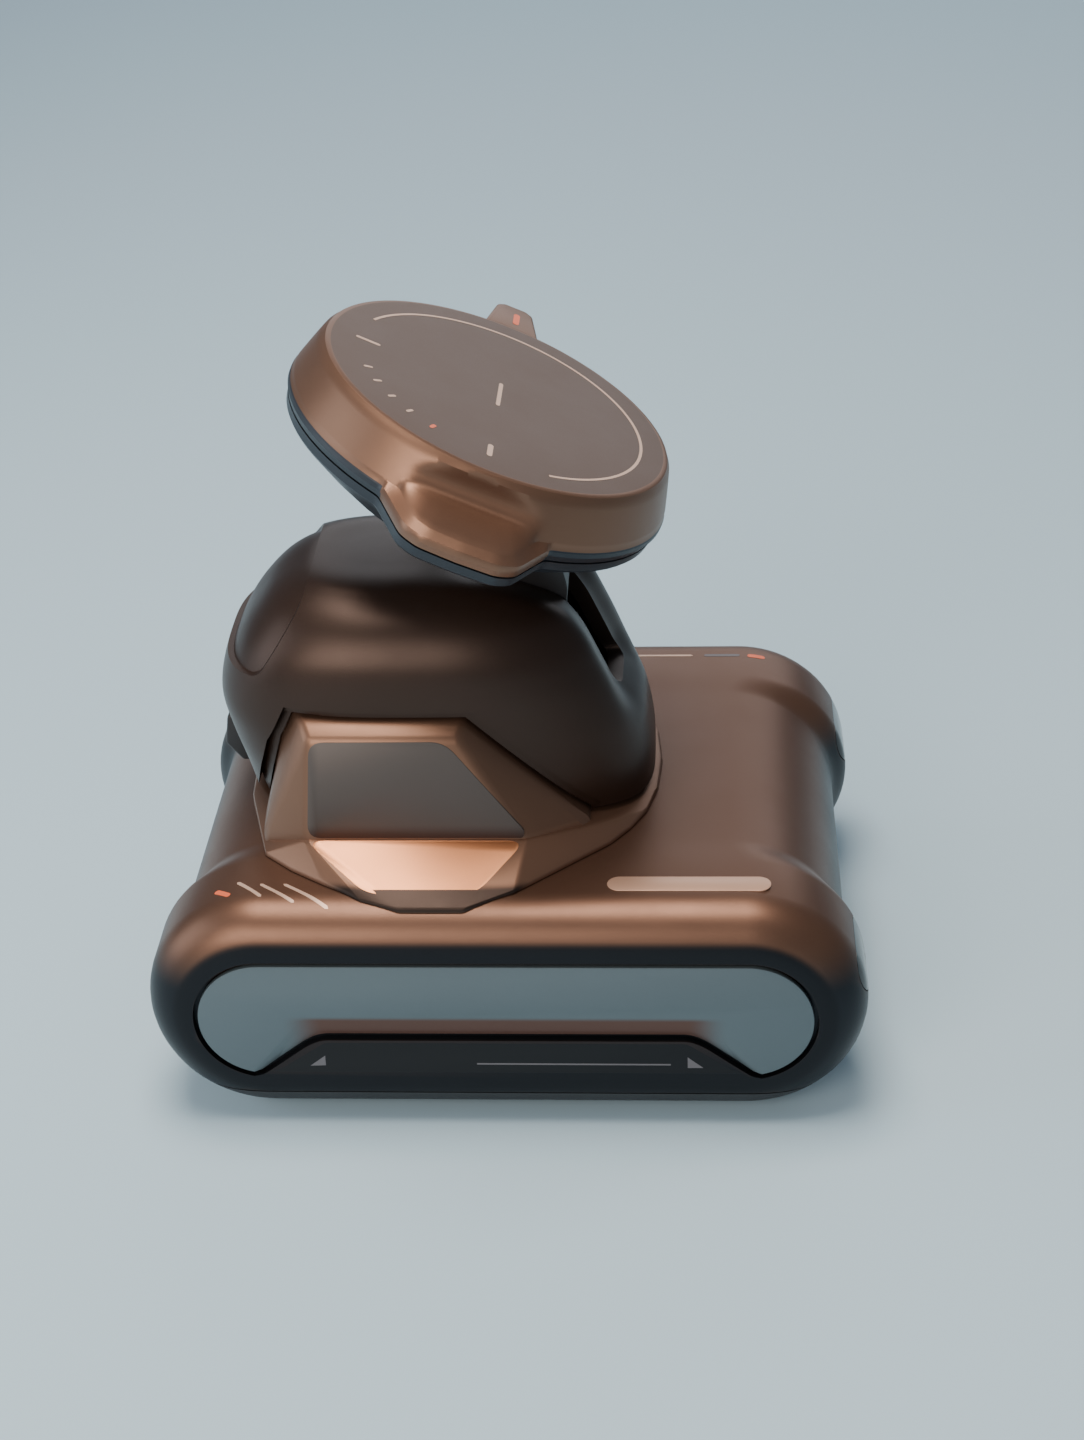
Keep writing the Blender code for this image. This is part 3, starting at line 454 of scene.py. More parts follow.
def base_form(offset, arc_steps=40, edge_steps=10, blend_steps=12):
    half_w = HALF_W + offset
    edge = EDGE_R + offset
    stations = []
    for k in range(edge_steps + 1):
        turn = math.radians(90 * (1 - k / edge_steps))
        stations.append((half_w - edge + edge * math.sin(turn), edge * (1 - math.cos(turn)), 0.0))
    for k in range(blend_steps + 1):
        t = k / blend_steps
        stations.append((POD_EDGE + POD_BLEND * (0.5 - t), 0.0, NOSE_SET * smooth_step(t)))
    stations += [(-y, inset, nose) for y, inset, nose in reversed(stations)]
    rings = []
    for y, inset, nose in stations:
        radius = BASE_R + offset - inset
        reach = HALF_L + offset - inset - nose - radius
        front = arc((reach, BASE_MID_Z), radius, -90, 90, arc_steps)
        rear = arc((-reach, BASE_MID_Z), radius, 90, 270, arc_steps)
        rings.append([(x, y, z) for x, z in front + rear])
    return loft(rings)


def low_form(offset):
    return base_form(offset, 16 // FINE, 4, 4)


PANEL_CENTRE_X = 39.85
PANEL_R = 10.95
NOTCH = ((-42.3, 10.85), (-41.0, 11.2), (-38.6, 13.0), (-33.2, 17.2), (-30.6, 18.4))


def panel_outline(grow=0.0):
    right = [(-x, z) for x, z in reversed(NOTCH)]
    tip = math.degrees(math.acos((NOTCH[0][0] + PANEL_CENTRE_X) / PANEL_R))
    front = arc((PANEL_CENTRE_X, BASE_MID_Z), PANEL_R, tip - 180, 90, 40)
    rear = arc((-PANEL_CENTRE_X, BASE_MID_Z), PANEL_R, 90, 360 - tip, 40)
    notch = rounded(list(NOTCH) + right, 1.6, 4)
    inner = [p for p in notch if abs(p[0]) < 41.4]
    outline = front + rear + inner
    return offset_outline(outline, grow) if grow else outline


def lens_cutter(side, grow=0.0, low=48.0):
    return prism(obround((side * 36.5, 27.0), 15.0 + 2 * grow, 8.0 + 2 * grow, 20), low, 70.0, "X")


def build_base():
    top = cut(base_form(0.0), low_form(-WALL))
    cut(top, box((-70, -60, -10), (70, 60, SPLIT_Z + 0.15)))
    for side in (1, -1):
        outer = side * HALF_W
        cut(top, prism(panel_outline(0.75), outer - side * 1.5, outer + side * 5, "Y"))
        cut(top, lens_cutter(side, 0.22))
    cut(top, prism(obround((0.0, 18.7), 9.6, 3.9), -70, -50, "X"))
    cut(top, box((-2, -5, 37), (6, 5, 44)))
    piece(top, "body_top", "base", "base", ("base_top_shell",), 28)

    bottom = cut(base_form(0.0), low_form(-WALL))
    cut(bottom, box((-70, -60, SPLIT_Z - 0.15), (70, 60, 60)))
    for side in (1, -1):
        low, high = sorted((side * 31.0, side * 43.0))
        cut(bottom, prism(rounded(((-15.5, low), (15.5, low), (15.5, high), (-15.5, high)), 1.5),
                          -5, 20, "Z"))
        low, high = sorted((side * 22.0, side * 28.5))
        join(bottom, box((-13.5, low, 3.0), (13.5, high, 7.7)))
        cut(bottom, cylinder(6.5, -5, 20, "Z", (side * CASTER_X, 0, 0)))
        for y in (24.0, -24.0):
            cut(bottom, cylinder(2.6, -5, 3.1, "Z", (side * 36.0, y, 0)))
    piece(bottom, "body_bottom", "under", "base", ("base_bottom_shell",), 28)


def build_panels():
    for name, side in (("left", 1), ("right", -1)):
        outer = side * HALF_W
        panel = prism(panel_outline(), outer - side * 1.2, outer - side * 0.05, "Y")
        bevel(panel, 0.22, 2, 40)
        band = [(s * x, y, z) for s in (1, -1)
                for x, y, z in ((33.2, outer, 22.4), (43.4, outer, 10.2),
                                (33.2, outer + side * 3, 22.4), (43.4, outer + side * 3, 10.2),
                                (30.8, outer - side * 1.0, 18.7), (38.7, outer - side * 1.0, 12.3))]
        cut(panel, hull(band))
        piece(panel, f"side_panel_skin_{name}", "panel", "base",
              (f"side_panel_{name}",), 25)
        sill_line = rounded(((-30.0, 17.2), (30.0, 17.2), (37.4, 11.9), (39.6, 11.1), (-39.6, 11.1),
                             (-37.4, 11.9)), 0.8, 4)
        sill = prism(list(reversed(sill_line)), outer - side * 0.5, outer + side * 0.02, "Y")
        bevel(sill, 0.12, 2, 40)
        piece(sill, f"side_sill_{name}", "sill", "base")
        marks = [((-32.7, 12.4), (-30.1, 12.5), (-30.1, 14.5)),
                 ((32.7, 12.3), (30.1, 14.5), (30.1, 12.3)),
                 ((-4.8, 12.8), (27.3, 12.8), (27.3, 13.1), (-4.8, 13.1))]
        for k, outline in enumerate(marks, 1):
            mark = prism([(-side * x, z) for x, z in outline],
                         outer - side * 0.1, outer + side * 0.05, "Y")
            piece(mark, f"side_mark_{name}_{k}", "grey_print", "base")


def build_lenses():
    for name, side in (("left", 1), ("right", -1)):
        lens = lens_cutter(side)
        combine(lens, base_form(-0.05), "INTERSECT")
        cut(lens, low_form(-1.6))
        piece(lens, f"headlight_window_{name}", "lens", "base",
              (f"headlight_lens_{name}",), 30)


def deck_height(x, y):
    """Height of the body's skin, on the flat deck and where it rounds off."""
    over = max(0.0, abs(y) - (HALF_W - EDGE_R))
    radius = BASE_R - EDGE_R + math.sqrt(max(0.0, EDGE_R ** 2 - over ** 2))
    past = max(0.0, abs(x) - (HALF_L - BASE_R))
    return BASE_MID_Z + math.sqrt(max(0.0, radius ** 2 - past ** 2))


def deck_print(name, start, end, width, look):
    """A printed bar that follows the deck from one point to another."""
    a = Vector(start)
    b = Vector(end)
    along = (b - a).normalized()
    across = Vector((-along.y, along.x)) * (width / 2)
    steps = 24
    rings = []
    for k in range(steps + 1):
        t = k / steps
        middle = a.lerp(b, t)
        reach = min((middle - a).length, (b - middle).length)
        squeeze = 1.0
        if reach < width / 2:
            squeeze = math.sqrt(max(0.02, 1 - (1 - reach / (width / 2)) ** 2))
        left = middle + across * squeeze
        right = middle - across * squeeze
        skin = [(side.x, side.y, deck_height(side.x, side.y)) for side in (left, right)]
        rings.append([(x, y, z + PRINT_LIFT) for x, y, z in skin]
                     + [(x, y, z - PRINT_DEPTH) for x, y, z in reversed(skin)])
    piece(loft(rings), name, look, "base", (), 40)


def build_deck_prints():
    pill = prism(obround((30.45, -38.1), 26.7, 4.1), DECK_Z - 0.2, DECK_Z + 0.06, "Z")
    bevel(pill, 0.05, 2, 40)
    piece(pill, "deck_label", "pill", "base", (), 40)
    deck_print("deck_stripe_1", (-47.6, -38.2), (-44.8, -40.6), 0.95, "orange")
    deck_print("deck_stripe_2", (-44.0, -37.1), (-39.4, -41.7), 0.62, "print")
    deck_print("deck_stripe_3", (-40.0, -38.2), (-33.8, -43.0), 0.62, "print")
    deck_print("deck_stripe_4", (-36.1, -38.2), (-28.1, -44.1), 0.62, "print")
    deck_print("deck_line_far", (19.2, 38.9), (31.1, 38.9), 0.6, "print")
    deck_print("deck_dash_far", (33.2, 38.9), (40.0, 38.9), 0.9, "grey_print")
    deck_print("deck_mark_far", (41.4, 38.9), (44.7, 38.9), 1.1, "orange")


# ---------------------------------------------------------------- hump

SEAM = ((-46.0, 0.0), (-45.3, 11.0), (-43.0, 19.6), (-40.3, 30.0), (-35.3, 34.7),
        (-29.4, 38.9), (-23.2, 42.9), (-16.5, 44.9), (-6.0, 44.9), (2.2, 41.1), (7.1, 35.8),
        (12.2, 31.0), (17.4, 26.6), (20.6, 22.0), (23.3, 16.5), (25.1, 9.0), (25.8, 0.0))


KNEE_Y = 31.5
KNEE_Z = 46.3
UPPER_FACE = (0.0, 16.9, 3.5)
LOWER_FACE = (0.0, 4.0, 11.0)


def skirt_points(grow=0.0):
    foot = [(x, y, z) for x, y in SEAM for z in (38.5, 42.7 - max(0.0, y - 41.0) * 0.3)]
    shelf = [(-33.0, KNEE_Y, KNEE_Z), (3.6, KNEE_Y, KNEE_Z), (-19.0, 42.5, 42.3), (-3.6, 42.5, 42.3)]
    crown = [(24.6, 0.0, 43.2), (23.4, 10.0, 43.2), (20.5, 17.5, 43.2), (13.5, 25.5, 45.0),
             (-44.8, 8.0, 43.3), (-41.5, 20.0, 43.3), (-38.5, 29.0, 44.0)]
    return grown(both_sides(foot + shelf + crown), grow)


def block_points(grow=0.0):
    face = [(-32.0, 28.0, 63.2), (-7.0, 28.0, 63.2), (-33.0, KNEE_Y, KNEE_Z),
            (3.6, KNEE_Y, KNEE_Z)]
    edge = [(-33.3, 25.0, 65.1), (-6.3, 25.0, 65.1), (14.0, 24.6, 45.4), (-40.8, 27.0, 44.6)]
    inside = [(-36.0, 18.0, 65.1), (-6.3, 10.0, 65.1), (14.0, 10.0, 45.4)]
    foot = [(-40.8, 27.0, 41.0), (-33.0, KNEE_Y, 41.0), (3.6, KNEE_Y, 41.0), (14.0, 24.6, 41.0),
            (-42.5, 18.0, 41.0)]
    return grown(both_sides(face + edge + inside + foot), grow)


def grown(points, grow):
    """Every point swapped for the corners of a small cube, so that their hull grows."""
    if not grow:
        return points
    steps = (-grow, grow)
    return [(x + a, y + b, z + c) for x, y, z in points for a in steps for b in steps for c in steps]


def build_hump():
    skirt = bevel(hull(skirt_points()), 0.5, 3, 8)
    block = bevel(hull(block_points()), 1.0, 4, 8)
    fairing = join(skirt, block)
    cut(fairing, base_form(0.22, 24, 8, 8))
    inner = ((-38.0, 23.0, 36.0), (-32.0, 28.0, 36.0), (0.5, 28.0, 36.0), (7.0, 22.5, 36.0),
             (-37.5, 23.0, 46.0), (-31.0, 28.0, 46.0), (0.0, 28.0, 46.0), (5.0, 22.5, 46.0),
             (-31.5, 22.5, 62.5), (-9.5, 22.5, 62.5), (-31.0, 25.3, 61.0), (-9.5, 25.3, 61.0))
    cut(fairing, cover_core(COVER_WALL + 0.3))
    lip = hull(block_points(1.1))
    combine(lip, cover_core(COVER_WALL + 0.2), "INTERSECT")
    cut(lip, cover_core(COVER_WALL + 1.3))
    join(fairing, lip)
    cut(fairing, hull(both_sides(inner)), box((-55.0, -17.5, 44.0), (-38.0, 17.5, 80.0)))
    piece(fairing, "hump_skin", "hump", "base", ("hump_fairing",), 20)
    panel = rounded(((-32.7, 46.5), (3.2, 46.5), (3.4, 47.8), (-9.3, 62.9), (-31.7, 62.9)), 2.4, 6)
    facet = rounded(((-33.0, 31.8), (3.6, 31.8), (-4.0, 42.1), (-22.0, 42.1)), 3.0, 6)
    for label, side in (("right", -1), ("left", 1)):
        flip = Vector((1, side, 1))
        upper = [(x, side * (KNEE_Y - (z - KNEE_Z) * UPPER_FACE[2] / UPPER_FACE[1]), z)
                 for x, z in panel]
        lower = [(x, side * y, KNEE_Z - (y - KNEE_Y) * LOWER_FACE[1] / LOWER_FACE[2])
                 for x, y in facet]
        inlay(f"hump_panel_{label}", upper, Vector(UPPER_FACE) * flip, "hex")
        inlay(f"hump_facet_{label}", lower, Vector(LOWER_FACE) * flip, "facet")


def inlay(name, outline, normal, look):
    """A thin plate with a flat outline, standing 0.05 mm proud of the face it lies on."""
    normal = normal.normalized()
    rings = [[Vector(point) + normal * lift for point in outline] for lift in (-0.4, 0.02)]
    middle = sum(rings[1], Vector()) / len(outline)
    rings.append([middle + (point - middle) * 0.992 + normal * 0.05 for point in rings[1]])
    piece(loft(rings), name, look, "base", (), 30)


# Height, rear end, front end and half width of the cover at each level.
COVER_LEVELS = ((43.7, -45.0, 24.6, 24.0), (50.0, -46.4, 24.4, 25.0), (57.0, -48.4, 22.9, 25.2),
                (63.0, -49.5, 20.8, 25.2), (69.0, -48.2, 18.2, 25.0), (74.0, -45.8, 15.8, 24.1),
                (78.0, -42.8, 12.8, 22.1), (81.0, -39.8, 9.0, 19.3), (83.2, -36.2, 4.0, 15.6),
                (84.25, -32.5, -2.0, 12.0), (84.5, -26.0, -8.0, 5.0))


COVER_ROUNDNESS = 3.0
DIP_FORWARD = 3.2
DIP_DOWN = 1.6


def catmull(rows, t):
    """A smooth value through equally spaced rows."""
    rows = np.asarray(rows, float)
    k = min(int(t), len(rows) - 2)
    u = t - k
    p1, p2 = rows[k], rows[k + 1]
    p0 = rows[k - 1] if k else 2 * p1 - p2
    p3 = rows[k + 2] if k + 2 < len(rows) else 2 * p2 - p1
    return 0.5 * (2 * p1 + (p2 - p0) * u + (2 * p0 - 5 * p1 + 4 * p2 - p3) * u ** 2
                  + (3 * p1 - p0 - 3 * p2 + p3) * u ** 3)


def cover_form(inset, per_level, points):
    levels = np.asarray(COVER_LEVELS, float)
    steps = (len(levels) - 1) * per_level
    rings = []
    for k in range(steps + 1):
        z, rear, front, half_w = catmull(levels, k / per_level)
        z -= inset
        rear += inset
        front -= inset
        half_w = max(0.4, half_w - inset)
        if front - rear < 0.8:
            break
        middle = (rear + front) / 2
        ring = []
        for j in range(points):
            turn = 2 * math.pi * j / points
            c = math.cos(turn)
            s = math.sin(turn)
            x = middle + (front - middle) * math.copysign(abs(c) ** (2 / COVER_ROUNDNESS), c)
            y = half_w * math.copysign(abs(s) ** (2 / COVER_ROUNDNESS), s)
            dip = smooth_step((15.5 - abs(y)) / 10.0) * smooth_step((x + 14.0) / 14.0)
            x -= DIP_FORWARD * dip * smooth_step((z - 55.0) / 9.0)
            ring.append((x, y, z - DIP_DOWN * dip * smooth_step((z - 77.0) / 6.0)))
        rings.append(ring)
    if inset:
        rings.insert(0, [(x, y, z - 12) for x, y, z in rings[0]])
    return loft(rings)


def cover_core(inset):
    """The coarse cover form used for the hidden inner faces."""
    return cover_form(inset, 3, 72)


def build_cover():
    cover = cover_form(0.0, 8 // FINE, 160 // FINE)
    recess = rounded(((-31.4, 95.0), (-32.2, 83.0), (-40.6, 70.6), (-44.5, 70.0), (-60.0, 69.4),
                      (-60.0, 95.0)), 3.5, 8)
    band = prism(recess, -40, 40, "Y")
    cut(band, cover_form(0.7, 6 // FINE, 120 // FINE))
    cut(cover, band)
    rabbet = join(hull(block_points(1.5)), hull(skirt_points(0.9)))
    cut(rabbet, cover_form(0.8, 3, 80))
    cut(cover, rabbet)
    gap = hull([(x - 2.0, y, z) for x, y, z in block_points(0.4)])
    cut(gap, cover_form(1.5, 3, 80), box((-30.0, -60.0, 30.0), (60.0, 60.0, 90.0)))
    cut(cover, gap)
    cut(cover, cover_core(COVER_WALL))
    cut(cover, hull(skirt_points(COVER_FIT)), hull(block_points(COVER_FIT)))
    slot = rounded(((-SLOT_HALF_W, SLOT_FLOOR_Z), (SLOT_HALF_W, SLOT_FLOOR_Z),
                    (SLOT_HALF_W, 110.0), (-SLOT_HALF_W, 110.0)), 2.2, 8)
    cut(cover, prism(slot, -9.5, 30.0, "X"))
    cut(cover, box((-60, -5.8, 45.6), (-40, 5.8, 55.0)))
    piece(cover, "helmet_skin", "cover", "base", ("neck_cover",), 32)


def build_power_key():
    outline = ((2.0, -4.4), (2.0, 4.4), (-4.6, 4.4), (-5.3, -1.0), (-2.6, -4.4))
    key = bevel(prism([(x - 45.0, z + 50.3) for x, z in outline], -5.4, 5.4, "Y"), 0.45, 3, 20)
    piece(key, "power_key_cap", "arm", "power_key", ("power_button",), 25)


# ---------------------------------------------------------------- head

TAB_OUTER = ((33.0, 4.0), (14.6, 28.6), (9.4, 39.6), (6.5, 41.5), (0.0, 41.9))
TAB_INNER = ((33.0, 2.0), (12.3, 28.4), (8.1, 38.2), (5.5, 39.9), (0.0, 40.3))


def ray_radius(outline, alpha):
    """Distance from the centre to a tab's outline at an angle from the tab's middle."""
    direction = Vector((math.sin(alpha), math.cos(alpha)))
    best = 0.0
    for a, b in zip(outline, outline[1:]):
        a = Vector(a)
        edge = Vector(b) - a
        cross = direction.x * edge.y - direction.y * edge.x
        if abs(cross) < 1e-9:
            continue
        t = (a.x * edge.y - a.y * edge.x) / cross
        u = (a.x * direction.y - a.y * direction.x) / cross
        if -1e-6 <= u <= 1 + 1e-6 and t > 0:
            best = max(best, t)
    return best


def head_radii(count, outline, floor_r, soft_deg):
    """The outline's radius all round the plate, softened at its corners."""
    values = []
    for k in range(count):
        phi = 360.0 * k / count
        alpha = abs((phi % 180.0) - 90.0)
        reach = ray_radius(outline, math.radians(alpha)) if alpha < 40 else 0.0
        values.append(max(floor_r, reach))
    values = np.array(values)
    width = soft_deg * count / 360.0
    offsets = np.arange(-int(4 * width) - 1, int(4 * width) + 2)
    weights = np.exp(-0.5 * (offsets / max(width, 1e-3)) ** 2)
    weights /= weights.sum()
    return sum(w * np.roll(values, int(o)) for w, o in zip(weights, offsets))


def wall_radius(z):
    """Radius of the plate's side wall at a depth under its face."""
    return 30.3 + (LIP_R - 30.3) * min(1.0, max(0.0, (-z - 0.5) / 8.1)) ** 0.92


def polar_solid(profiles):
    """Skin one closed (r, z) profile per azimuth; each starts and ends on the axis."""
    bm = bmesh.new()
    count = len(profiles)
    length = len(profiles[0])
    first = bm.verts.new((0, 0, profiles[0][0][1]))
    last = bm.verts.new((0, 0, profiles[0][-1][1]))
    columns = []
    for k, profile in enumerate(profiles):
        phi = 2 * math.pi * k / count
        columns.append([bm.verts.new((r * math.cos(phi), r * math.sin(phi), z))
                        for r, z in profile[1:-1]])
    for k in range(count):
        near = columns[k]
        far = columns[(k + 1) % count]
        bm.faces.new((first, near[0], far[0]))
        bm.faces.new((last, far[-1], near[-1]))
        for j in range(length - 3):
            bm.faces.new((near[j], near[j + 1], far[j + 1], far[j]))
    return raw_object("polar", bm)


# Depth under the face, and distance from the axis, of the wall carved out above each tab.
SCOOP = ((1.2, 30.15), (2.0, 29.95), (2.8, 29.8), (3.6, 29.75), (4.3, 29.8), (4.9, 30.0),
         (5.4, 30.3), (5.75, 30.7), (5.95, 31.2))
HEAD_SCREWS = [(17 * math.cos(math.radians(a)), 17 * math.sin(math.radians(a)))
               for a in (60, 180, 300)] + [(-5.5, 5.0), (-5.5, -5.0)]


def soft_min(a, b, blend=0.22):
    """The smaller of two radii, with their crossing rounded off."""
    low = min(a, b)
    return low - blend * math.log(math.exp((low - a) / blend) + math.exp((low - b) / blend))


def build_head():
    count = 720 // FINE
    outer = head_radii(count, TAB_OUTER, LIP_R, 0.9)
    inner = head_radii(count, TAB_INNER, wall_radius(RIM_Z), 0.9)
    profiles = []
    for k, (r_out, r_in) in enumerate(zip(outer, inner)):
        alpha = math.radians(abs((360.0 * k / count) % 180.0 - 90.0))
        profile = [(0, 0), (20.0, 0), (29.0, 0), (29.5, -0.05), (29.85, -0.2), (30.05, -0.5)]
        for depth, reach in SCOOP:
            carved = reach / max(0.2, math.cos(alpha))
            profile.append((soft_min(carved, wall_radius(-depth)), -depth))
        edge_r, edge_z = profile[-1]
        for j in range(1, 6):
            t = j / 5
            profile.append((edge_r + (r_in - edge_r) * t, edge_z + (RIM_Z - edge_z) * t))
        tab = smooth_step((r_out - LIP_R) / 0.8)
        profile += [(r_in + 0.12 * tab, RIM_Z - 0.06), (r_out - 0.12, -8.5 + 0.1 * tab),
                    (r_out, -8.75), (r_out, -9.5), (r_out - 0.5, -10.6), (30.3, -10.6),
                    (30.3, -8.5), (28.2, -2.0), (0, -2.0)]
        profiles.append(profile)
    shell = polar_solid(profiles)
    face = [p.index for p in shell.data.polygons if p.center.z > -0.02]
    rim = [p.index for p in shell.data.polygons if -10.7 < p.center.z < -8.3
           and 32.0 < math.hypot(p.center.x, p.center.y) < LIP_R + 0.3]
    shell = piece(shell, "plate_shell", "bronze", "head", ("head_front_shell",),
                  24, HEAD_MATRIX)
    shell.data.materials.append(LOOKS["plate"])
    shell.data.materials.append(LOOKS["back"])
    for index in face:
        shell.data.polygons[index].material_index = 1
    for index in rim:
        shell.data.polygons[index].material_index = 2

    ear_points = [(-5.0, 27.0, -0.25), (5.6, 27.0, -0.25), (-2.9, 39.0, -0.25), (-1.8, 40.0, -0.25),
                  (2.4, 40.0, -0.25), (3.6, 39.0, -0.25)]
    ear_points += [(x * 1.1, y, -6.6) for x, y, z in ear_points]
    ear = bevel(hull(ear_points), 0.6, 4, 20)
    piece(ear, "plate_ear", "bronze", "head", (), 25, HEAD_MATRIX)

    profiles = []
    for r_out in outer:
        tab = (r_out - LIP_R) / 9.0
        profiles.append([(0, -17.4), (20.6, -17.4), (30.1, -12.0), (30.3, -10.9),
                         (r_out - 0.5, -10.9), (r_out - 0.6, -11.2), (r_out - 0.8, -12.4),
                         (r_out - 1.2 - 0.8 * tab, -12.9 - 0.3 * tab), (29.0 + 2.5 * tab, -14.9),
                         (26.9, -16.4), (21.6, -19.8), (21.0, -20.0), (0, -20.0)])
    back = polar_solid(profiles)
    arm = [(PIVOT[0] + x, PIVOT[2] + z) for x, z in arm_outline(0.4)]
    hole = prism(arm, -6.0, 6.0, "Y")
    hole.data.transform(HEAD_MATRIX.inverted())
    cut(back, hole)
    for x, y in HEAD_SCREWS:
        cut(back, cylinder(2.5, -25, -18.5, "Z", (x, y, 0), 32))
    piece(back, "plate_back", "back", "head", ("head_back_cover",), 24, HEAD_MATRIX)


def arm_outline(grow=0.0):
    boss = arc((0.0, 0.0), 7.0 + grow, 180, 360, 32)
    rise = [(7.3 + grow, 8.0), (8.4 + grow, 19.5), (6.4 + grow, 27.5), (6.4 + grow, 32.0),
            (-5.6 - grow, 38.0), (-5.8 - grow, 20.0), (-6.6 - grow, 6.0)]
    return boss + rise


def build_arm():
    outline = [(PIVOT[0] + x, PIVOT[2] + z) for x, z in rounded(arm_outline(), 1.2, 3)]
    arm = bevel(prism(outline, -5.6, 5.6, "Y"), 0.7, 3, 40)
    top = box((-20, -20, -16.4), (40, 20, 30))
    top.data.transform(HEAD_MATRIX)
    cut(arm, top)
    piece(arm, "neck_arm_skin", "arm", "head", ("neck_arm",), 30)


def face_arc(name, radius, width, start_deg, end_deg, look):
    """A printed arc on the plate's face, as a thin raised band."""
    steps = max(2, int(abs(end_deg - start_deg) / 2))
    rings = []
    for k in range(steps + 1):
        a = math.radians(start_deg + (end_deg - start_deg) * k / steps)
        near = radius - width / 2
        far = radius + width / 2
        rings.append([(r * math.cos(a), r * math.sin(a), z)
                      for r, z in ((near, PRINT_LIFT), (far, PRINT_LIFT), (far, -PRINT_DEPTH),
                                   (near, -PRINT_DEPTH))])
    piece(loft(rings), name, look, "head", (), 40, HEAD_MATRIX)


def face_bar(name, x, y, length, width, angle_deg, look):
    bar = prism(obround((0, 0), length, width, 6), -PRINT_DEPTH, PRINT_LIFT, "Z")
    bar.data.transform(Matrix.Translation((x, y, 0)) @ Matrix.Rotation(math.radians(angle_deg), 4, "Z"))
    piece(bar, name, look, "head", (), 40, HEAD_MATRIX)


def build_face_prints():
    face_arc("face_arc_ring", 25.0, 0.5, -66.5, 156.5, "print")
    for name, angle, r, length, width, look in (
            ("face_dash_rear", 178.0, 22.9, 4.2, 0.7, "print"),
            ("face_dash_right", -90.0, 22.0, 4.2, 0.9, "print"),
            ("face_tick_1", -157.5, 23.5, 1.6, 0.55, "print"),
            ("face_tick_2", -147.0, 23.5, 1.6, 0.55, "print"),
            ("face_tick_3", -136.0, 23.5, 1.6, 0.55, "print"),
            ("face_tick_4", -125.5, 23.5, 1.6, 0.55, "print"),
            ("face_tick_5", -114.0, 23.5, 1.6, 0.7, "orange")):
        a = math.radians(angle)
        face_bar(name, r * math.cos(a), r * math.sin(a), length, width, angle, look)
    face_bar("face_centre_line", 0.0, 0.0, 9.0, 0.7, 90.0, "print")
    bar = prism(obround((0, 0), 4.6, 1.1, 6), -0.4, -0.2, "Z")
    bar.data.transform(Matrix.Translation((0.8, 34.5, 0)) @ Matrix.Rotation(math.radians(90), 4, "Z"))
    piece(bar, "ear_mark", "orange", "head", (), 40, HEAD_MATRIX)


# ---------------------------------------------------------------- wheels

def build_wheels():
    for name, side in (("left", 1), ("right", -1)):
        centre = (0.0, side * WHEEL_Y, WHEEL_R)
        tread = [(9.5, 3.8), (10.2, 4.0), (12.2, 4.0), (12.7, 3.75), (12.95, 3.3), (WHEEL_R, 3.0)]
        for y in (1.6, 0.0, -1.6):
            tread += [(WHEEL_R, y + 0.55), (12.3, y + 0.3), (12.3, y - 0.3), (WHEEL_R, y - 0.55)]
        tread += [(WHEEL_R, -3.0), (12.95, -3.3), (12.7, -3.75), (12.2, -4.0), (10.2, -4.0), (9.5, -3.8)]
        tyre = lathe(tread, 96 // FINE, "Y", centre)
        piece(tyre, f"tyre_skin_{name}", "rubber", f"{name}_wheel", (f"tyre_{name}",), 30)
        rim = ((1.8, -3.2), (3.2, -3.4), (3.4, -3.2), (3.4, -1.4), (7.4, -1.4), (7.6, -3.6),
               (9.0, -3.6), (9.2, -3.4), (9.2, 3.4), (9.0, 3.6), (7.6, 3.6), (7.4, 1.4), (3.4, 1.4),
               (3.4, 3.2), (3.2, 3.4), (1.8, 3.4))
        hub = lathe(rim, 96 // FINE, "Y", centre)
        piece(hub, f"hub_skin_{name}", "nylon", f"{name}_wheel",
              (f"wheel_hub_{name}",), 30)
    profile = [(CASTER_R * math.sin(math.pi * k / 24), -CASTER_R * math.cos(math.pi * k / 24))
               for k in range(25)]
    for name, x in (("front", CASTER_X), ("rear", -CASTER_X)):
        ball = lathe(profile, 48, "Z", (x, 0, CASTER_R))
        piece(ball, f"ball_skin_{name}", "steel", f"{name}_caster",
              (f"caster_ball_{name}",), 180)


# ---------------------------------------------------------------- carried-over nodes, floor, light

def dress_nodes():
    slots = {entry["node"]: entry["material_slot"] for entry in frame["record"]["subparts"]}
    for name, obj in frame["nodes"].items():
        look = LOOKS[SLOT_LOOKS[slots[name]]]
        if name in ("pivot_frame", "caster_cup_front", "caster_cup_rear"):
            look = LOOKS["under"]
        for slot in obj.material_slots:
            slot.material = look


def build_stage():
    mesh = bpy.data.meshes.new("studio_floor")
    corners = [(x * FLOOR_HALF_M, y * FLOOR_HALF_M, 0) for x, y in ((-1, -1), (1, -1), (1, 1), (-1, 1))]
    mesh.from_pydata(corners, [], [(0, 1, 2, 3)])
    floor = bpy.data.objects.new("studio_floor", mesh)
    bpy.context.collection.objects.link(floor)
    mat = bpy.data.materials.new("studio_paper")
    mat.use_nodes = True
    shader = mat.node_tree.nodes["Principled BSDF"]
    shader.inputs["Base Color"].default_value = (0.45, 0.61, 0.71, 1)
    shader.inputs["Roughness"].default_value = 0.6
    mesh.materials.append(mat)


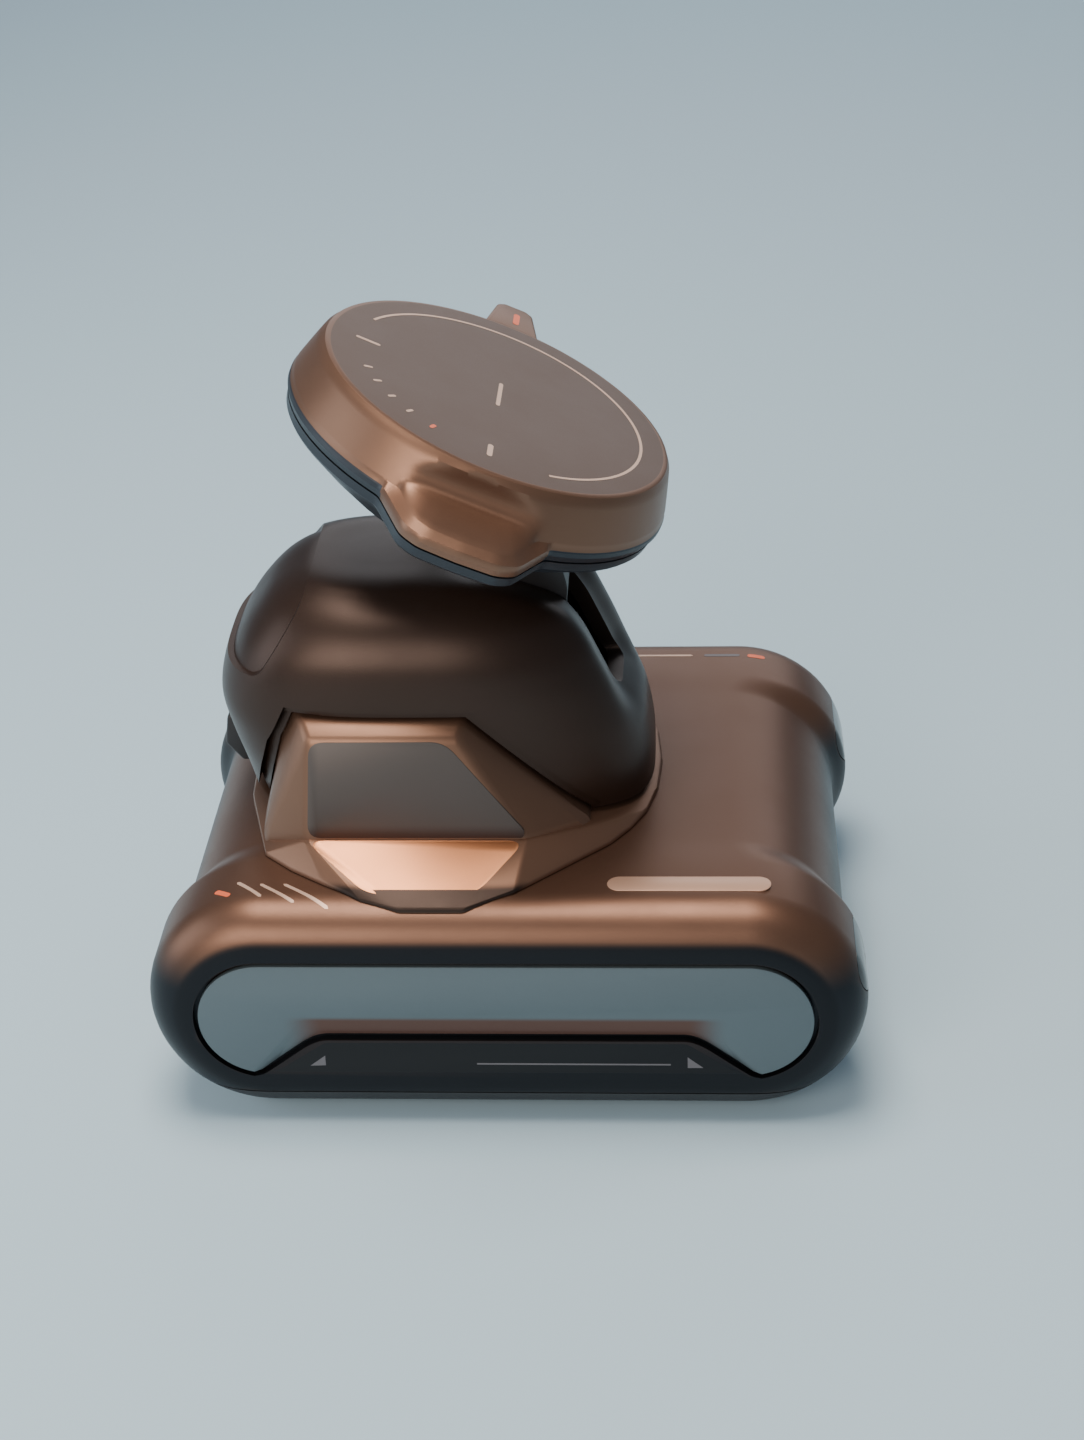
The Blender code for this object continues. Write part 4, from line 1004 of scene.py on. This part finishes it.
def area_light(name, location, target, size, power, colour=(1, 1, 1)):
    data = bpy.data.lights.new(name, "AREA")
    data.shape = "RECTANGLE"
    data.size = size[0]
    data.size_y = size[1]
    data.energy = power
    data.color = colour
    lamp = bpy.data.objects.new(name, data)
    lamp.location = location
    lamp.rotation_euler = (Vector(target) - Vector(location)).to_track_quat("-Z", "Y").to_euler()
    bpy.context.collection.objects.link(lamp)


def build_lights():
    world = bpy.data.worlds.new("studio")
    world.use_nodes = True
    background = world.node_tree.nodes["Background"]
    background.inputs["Color"].default_value = (0.50, 0.62, 0.74, 1)
    background.inputs["Strength"].default_value = 0.30
    bpy.context.scene.world = world
    middle = (0.0, 0.0, 0.05)
    area_light("key_top", (-0.06, -0.02, 0.75), middle, (0.42, 0.34), 6.5, (1.0, 0.90, 0.80))
    area_light("key_front", (-0.30, -0.70, 0.42), middle, (0.5, 0.4), 4.5, (1.0, 0.90, 0.80))
    area_light("fill_left", (-0.75, -0.10, 0.30), middle, (0.5, 0.5), 2.2, (0.85, 0.93, 1.0))
    area_light("back_wall", (0.10, 0.90, 0.42), middle, (0.9, 0.35), 1.8, (0.90, 0.95, 1.0))


CAMERA_AT = (0.031893, -0.375388, 0.270346)
CAMERA_PITCH = 0.528422
CAMERA_YAW = 0.072088
CAMERA_ROLL = -0.040184
FOCAL_HEIGHTS = 2491.43 / 1440.0


def build_camera():
    data = bpy.data.cameras.new("camera")
    data.sensor_width = 36.0
    data.lens = data.sensor_width * FOCAL_HEIGHTS
    data.clip_start = 0.01
    camera = bpy.data.objects.new("camera", data)
    level = math.cos(CAMERA_PITCH)
    forward = Vector((-math.sin(CAMERA_YAW) * level, math.cos(CAMERA_YAW) * level,
                      -math.sin(CAMERA_PITCH)))
    right = Vector((math.cos(CAMERA_YAW), math.sin(CAMERA_YAW), 0.0))
    up = right.cross(forward)
    side = right * math.cos(CAMERA_ROLL) + up * math.sin(CAMERA_ROLL)
    above = up * math.cos(CAMERA_ROLL) - right * math.sin(CAMERA_ROLL)
    rows = [(side[k], above[k], -forward[k], CAMERA_AT[k]) for k in range(3)]
    camera.matrix_world = Matrix((*rows, (0, 0, 0, 1)))
    bpy.context.collection.objects.link(camera)
    bpy.context.scene.camera = camera


build_camera()
build_stage()
build_lights()
dress_nodes()
build_base()
build_panels()
build_lenses()
build_deck_prints()
build_hump()
build_cover()
build_power_key()
build_head()
build_arm()
build_face_prints()
build_wheels()
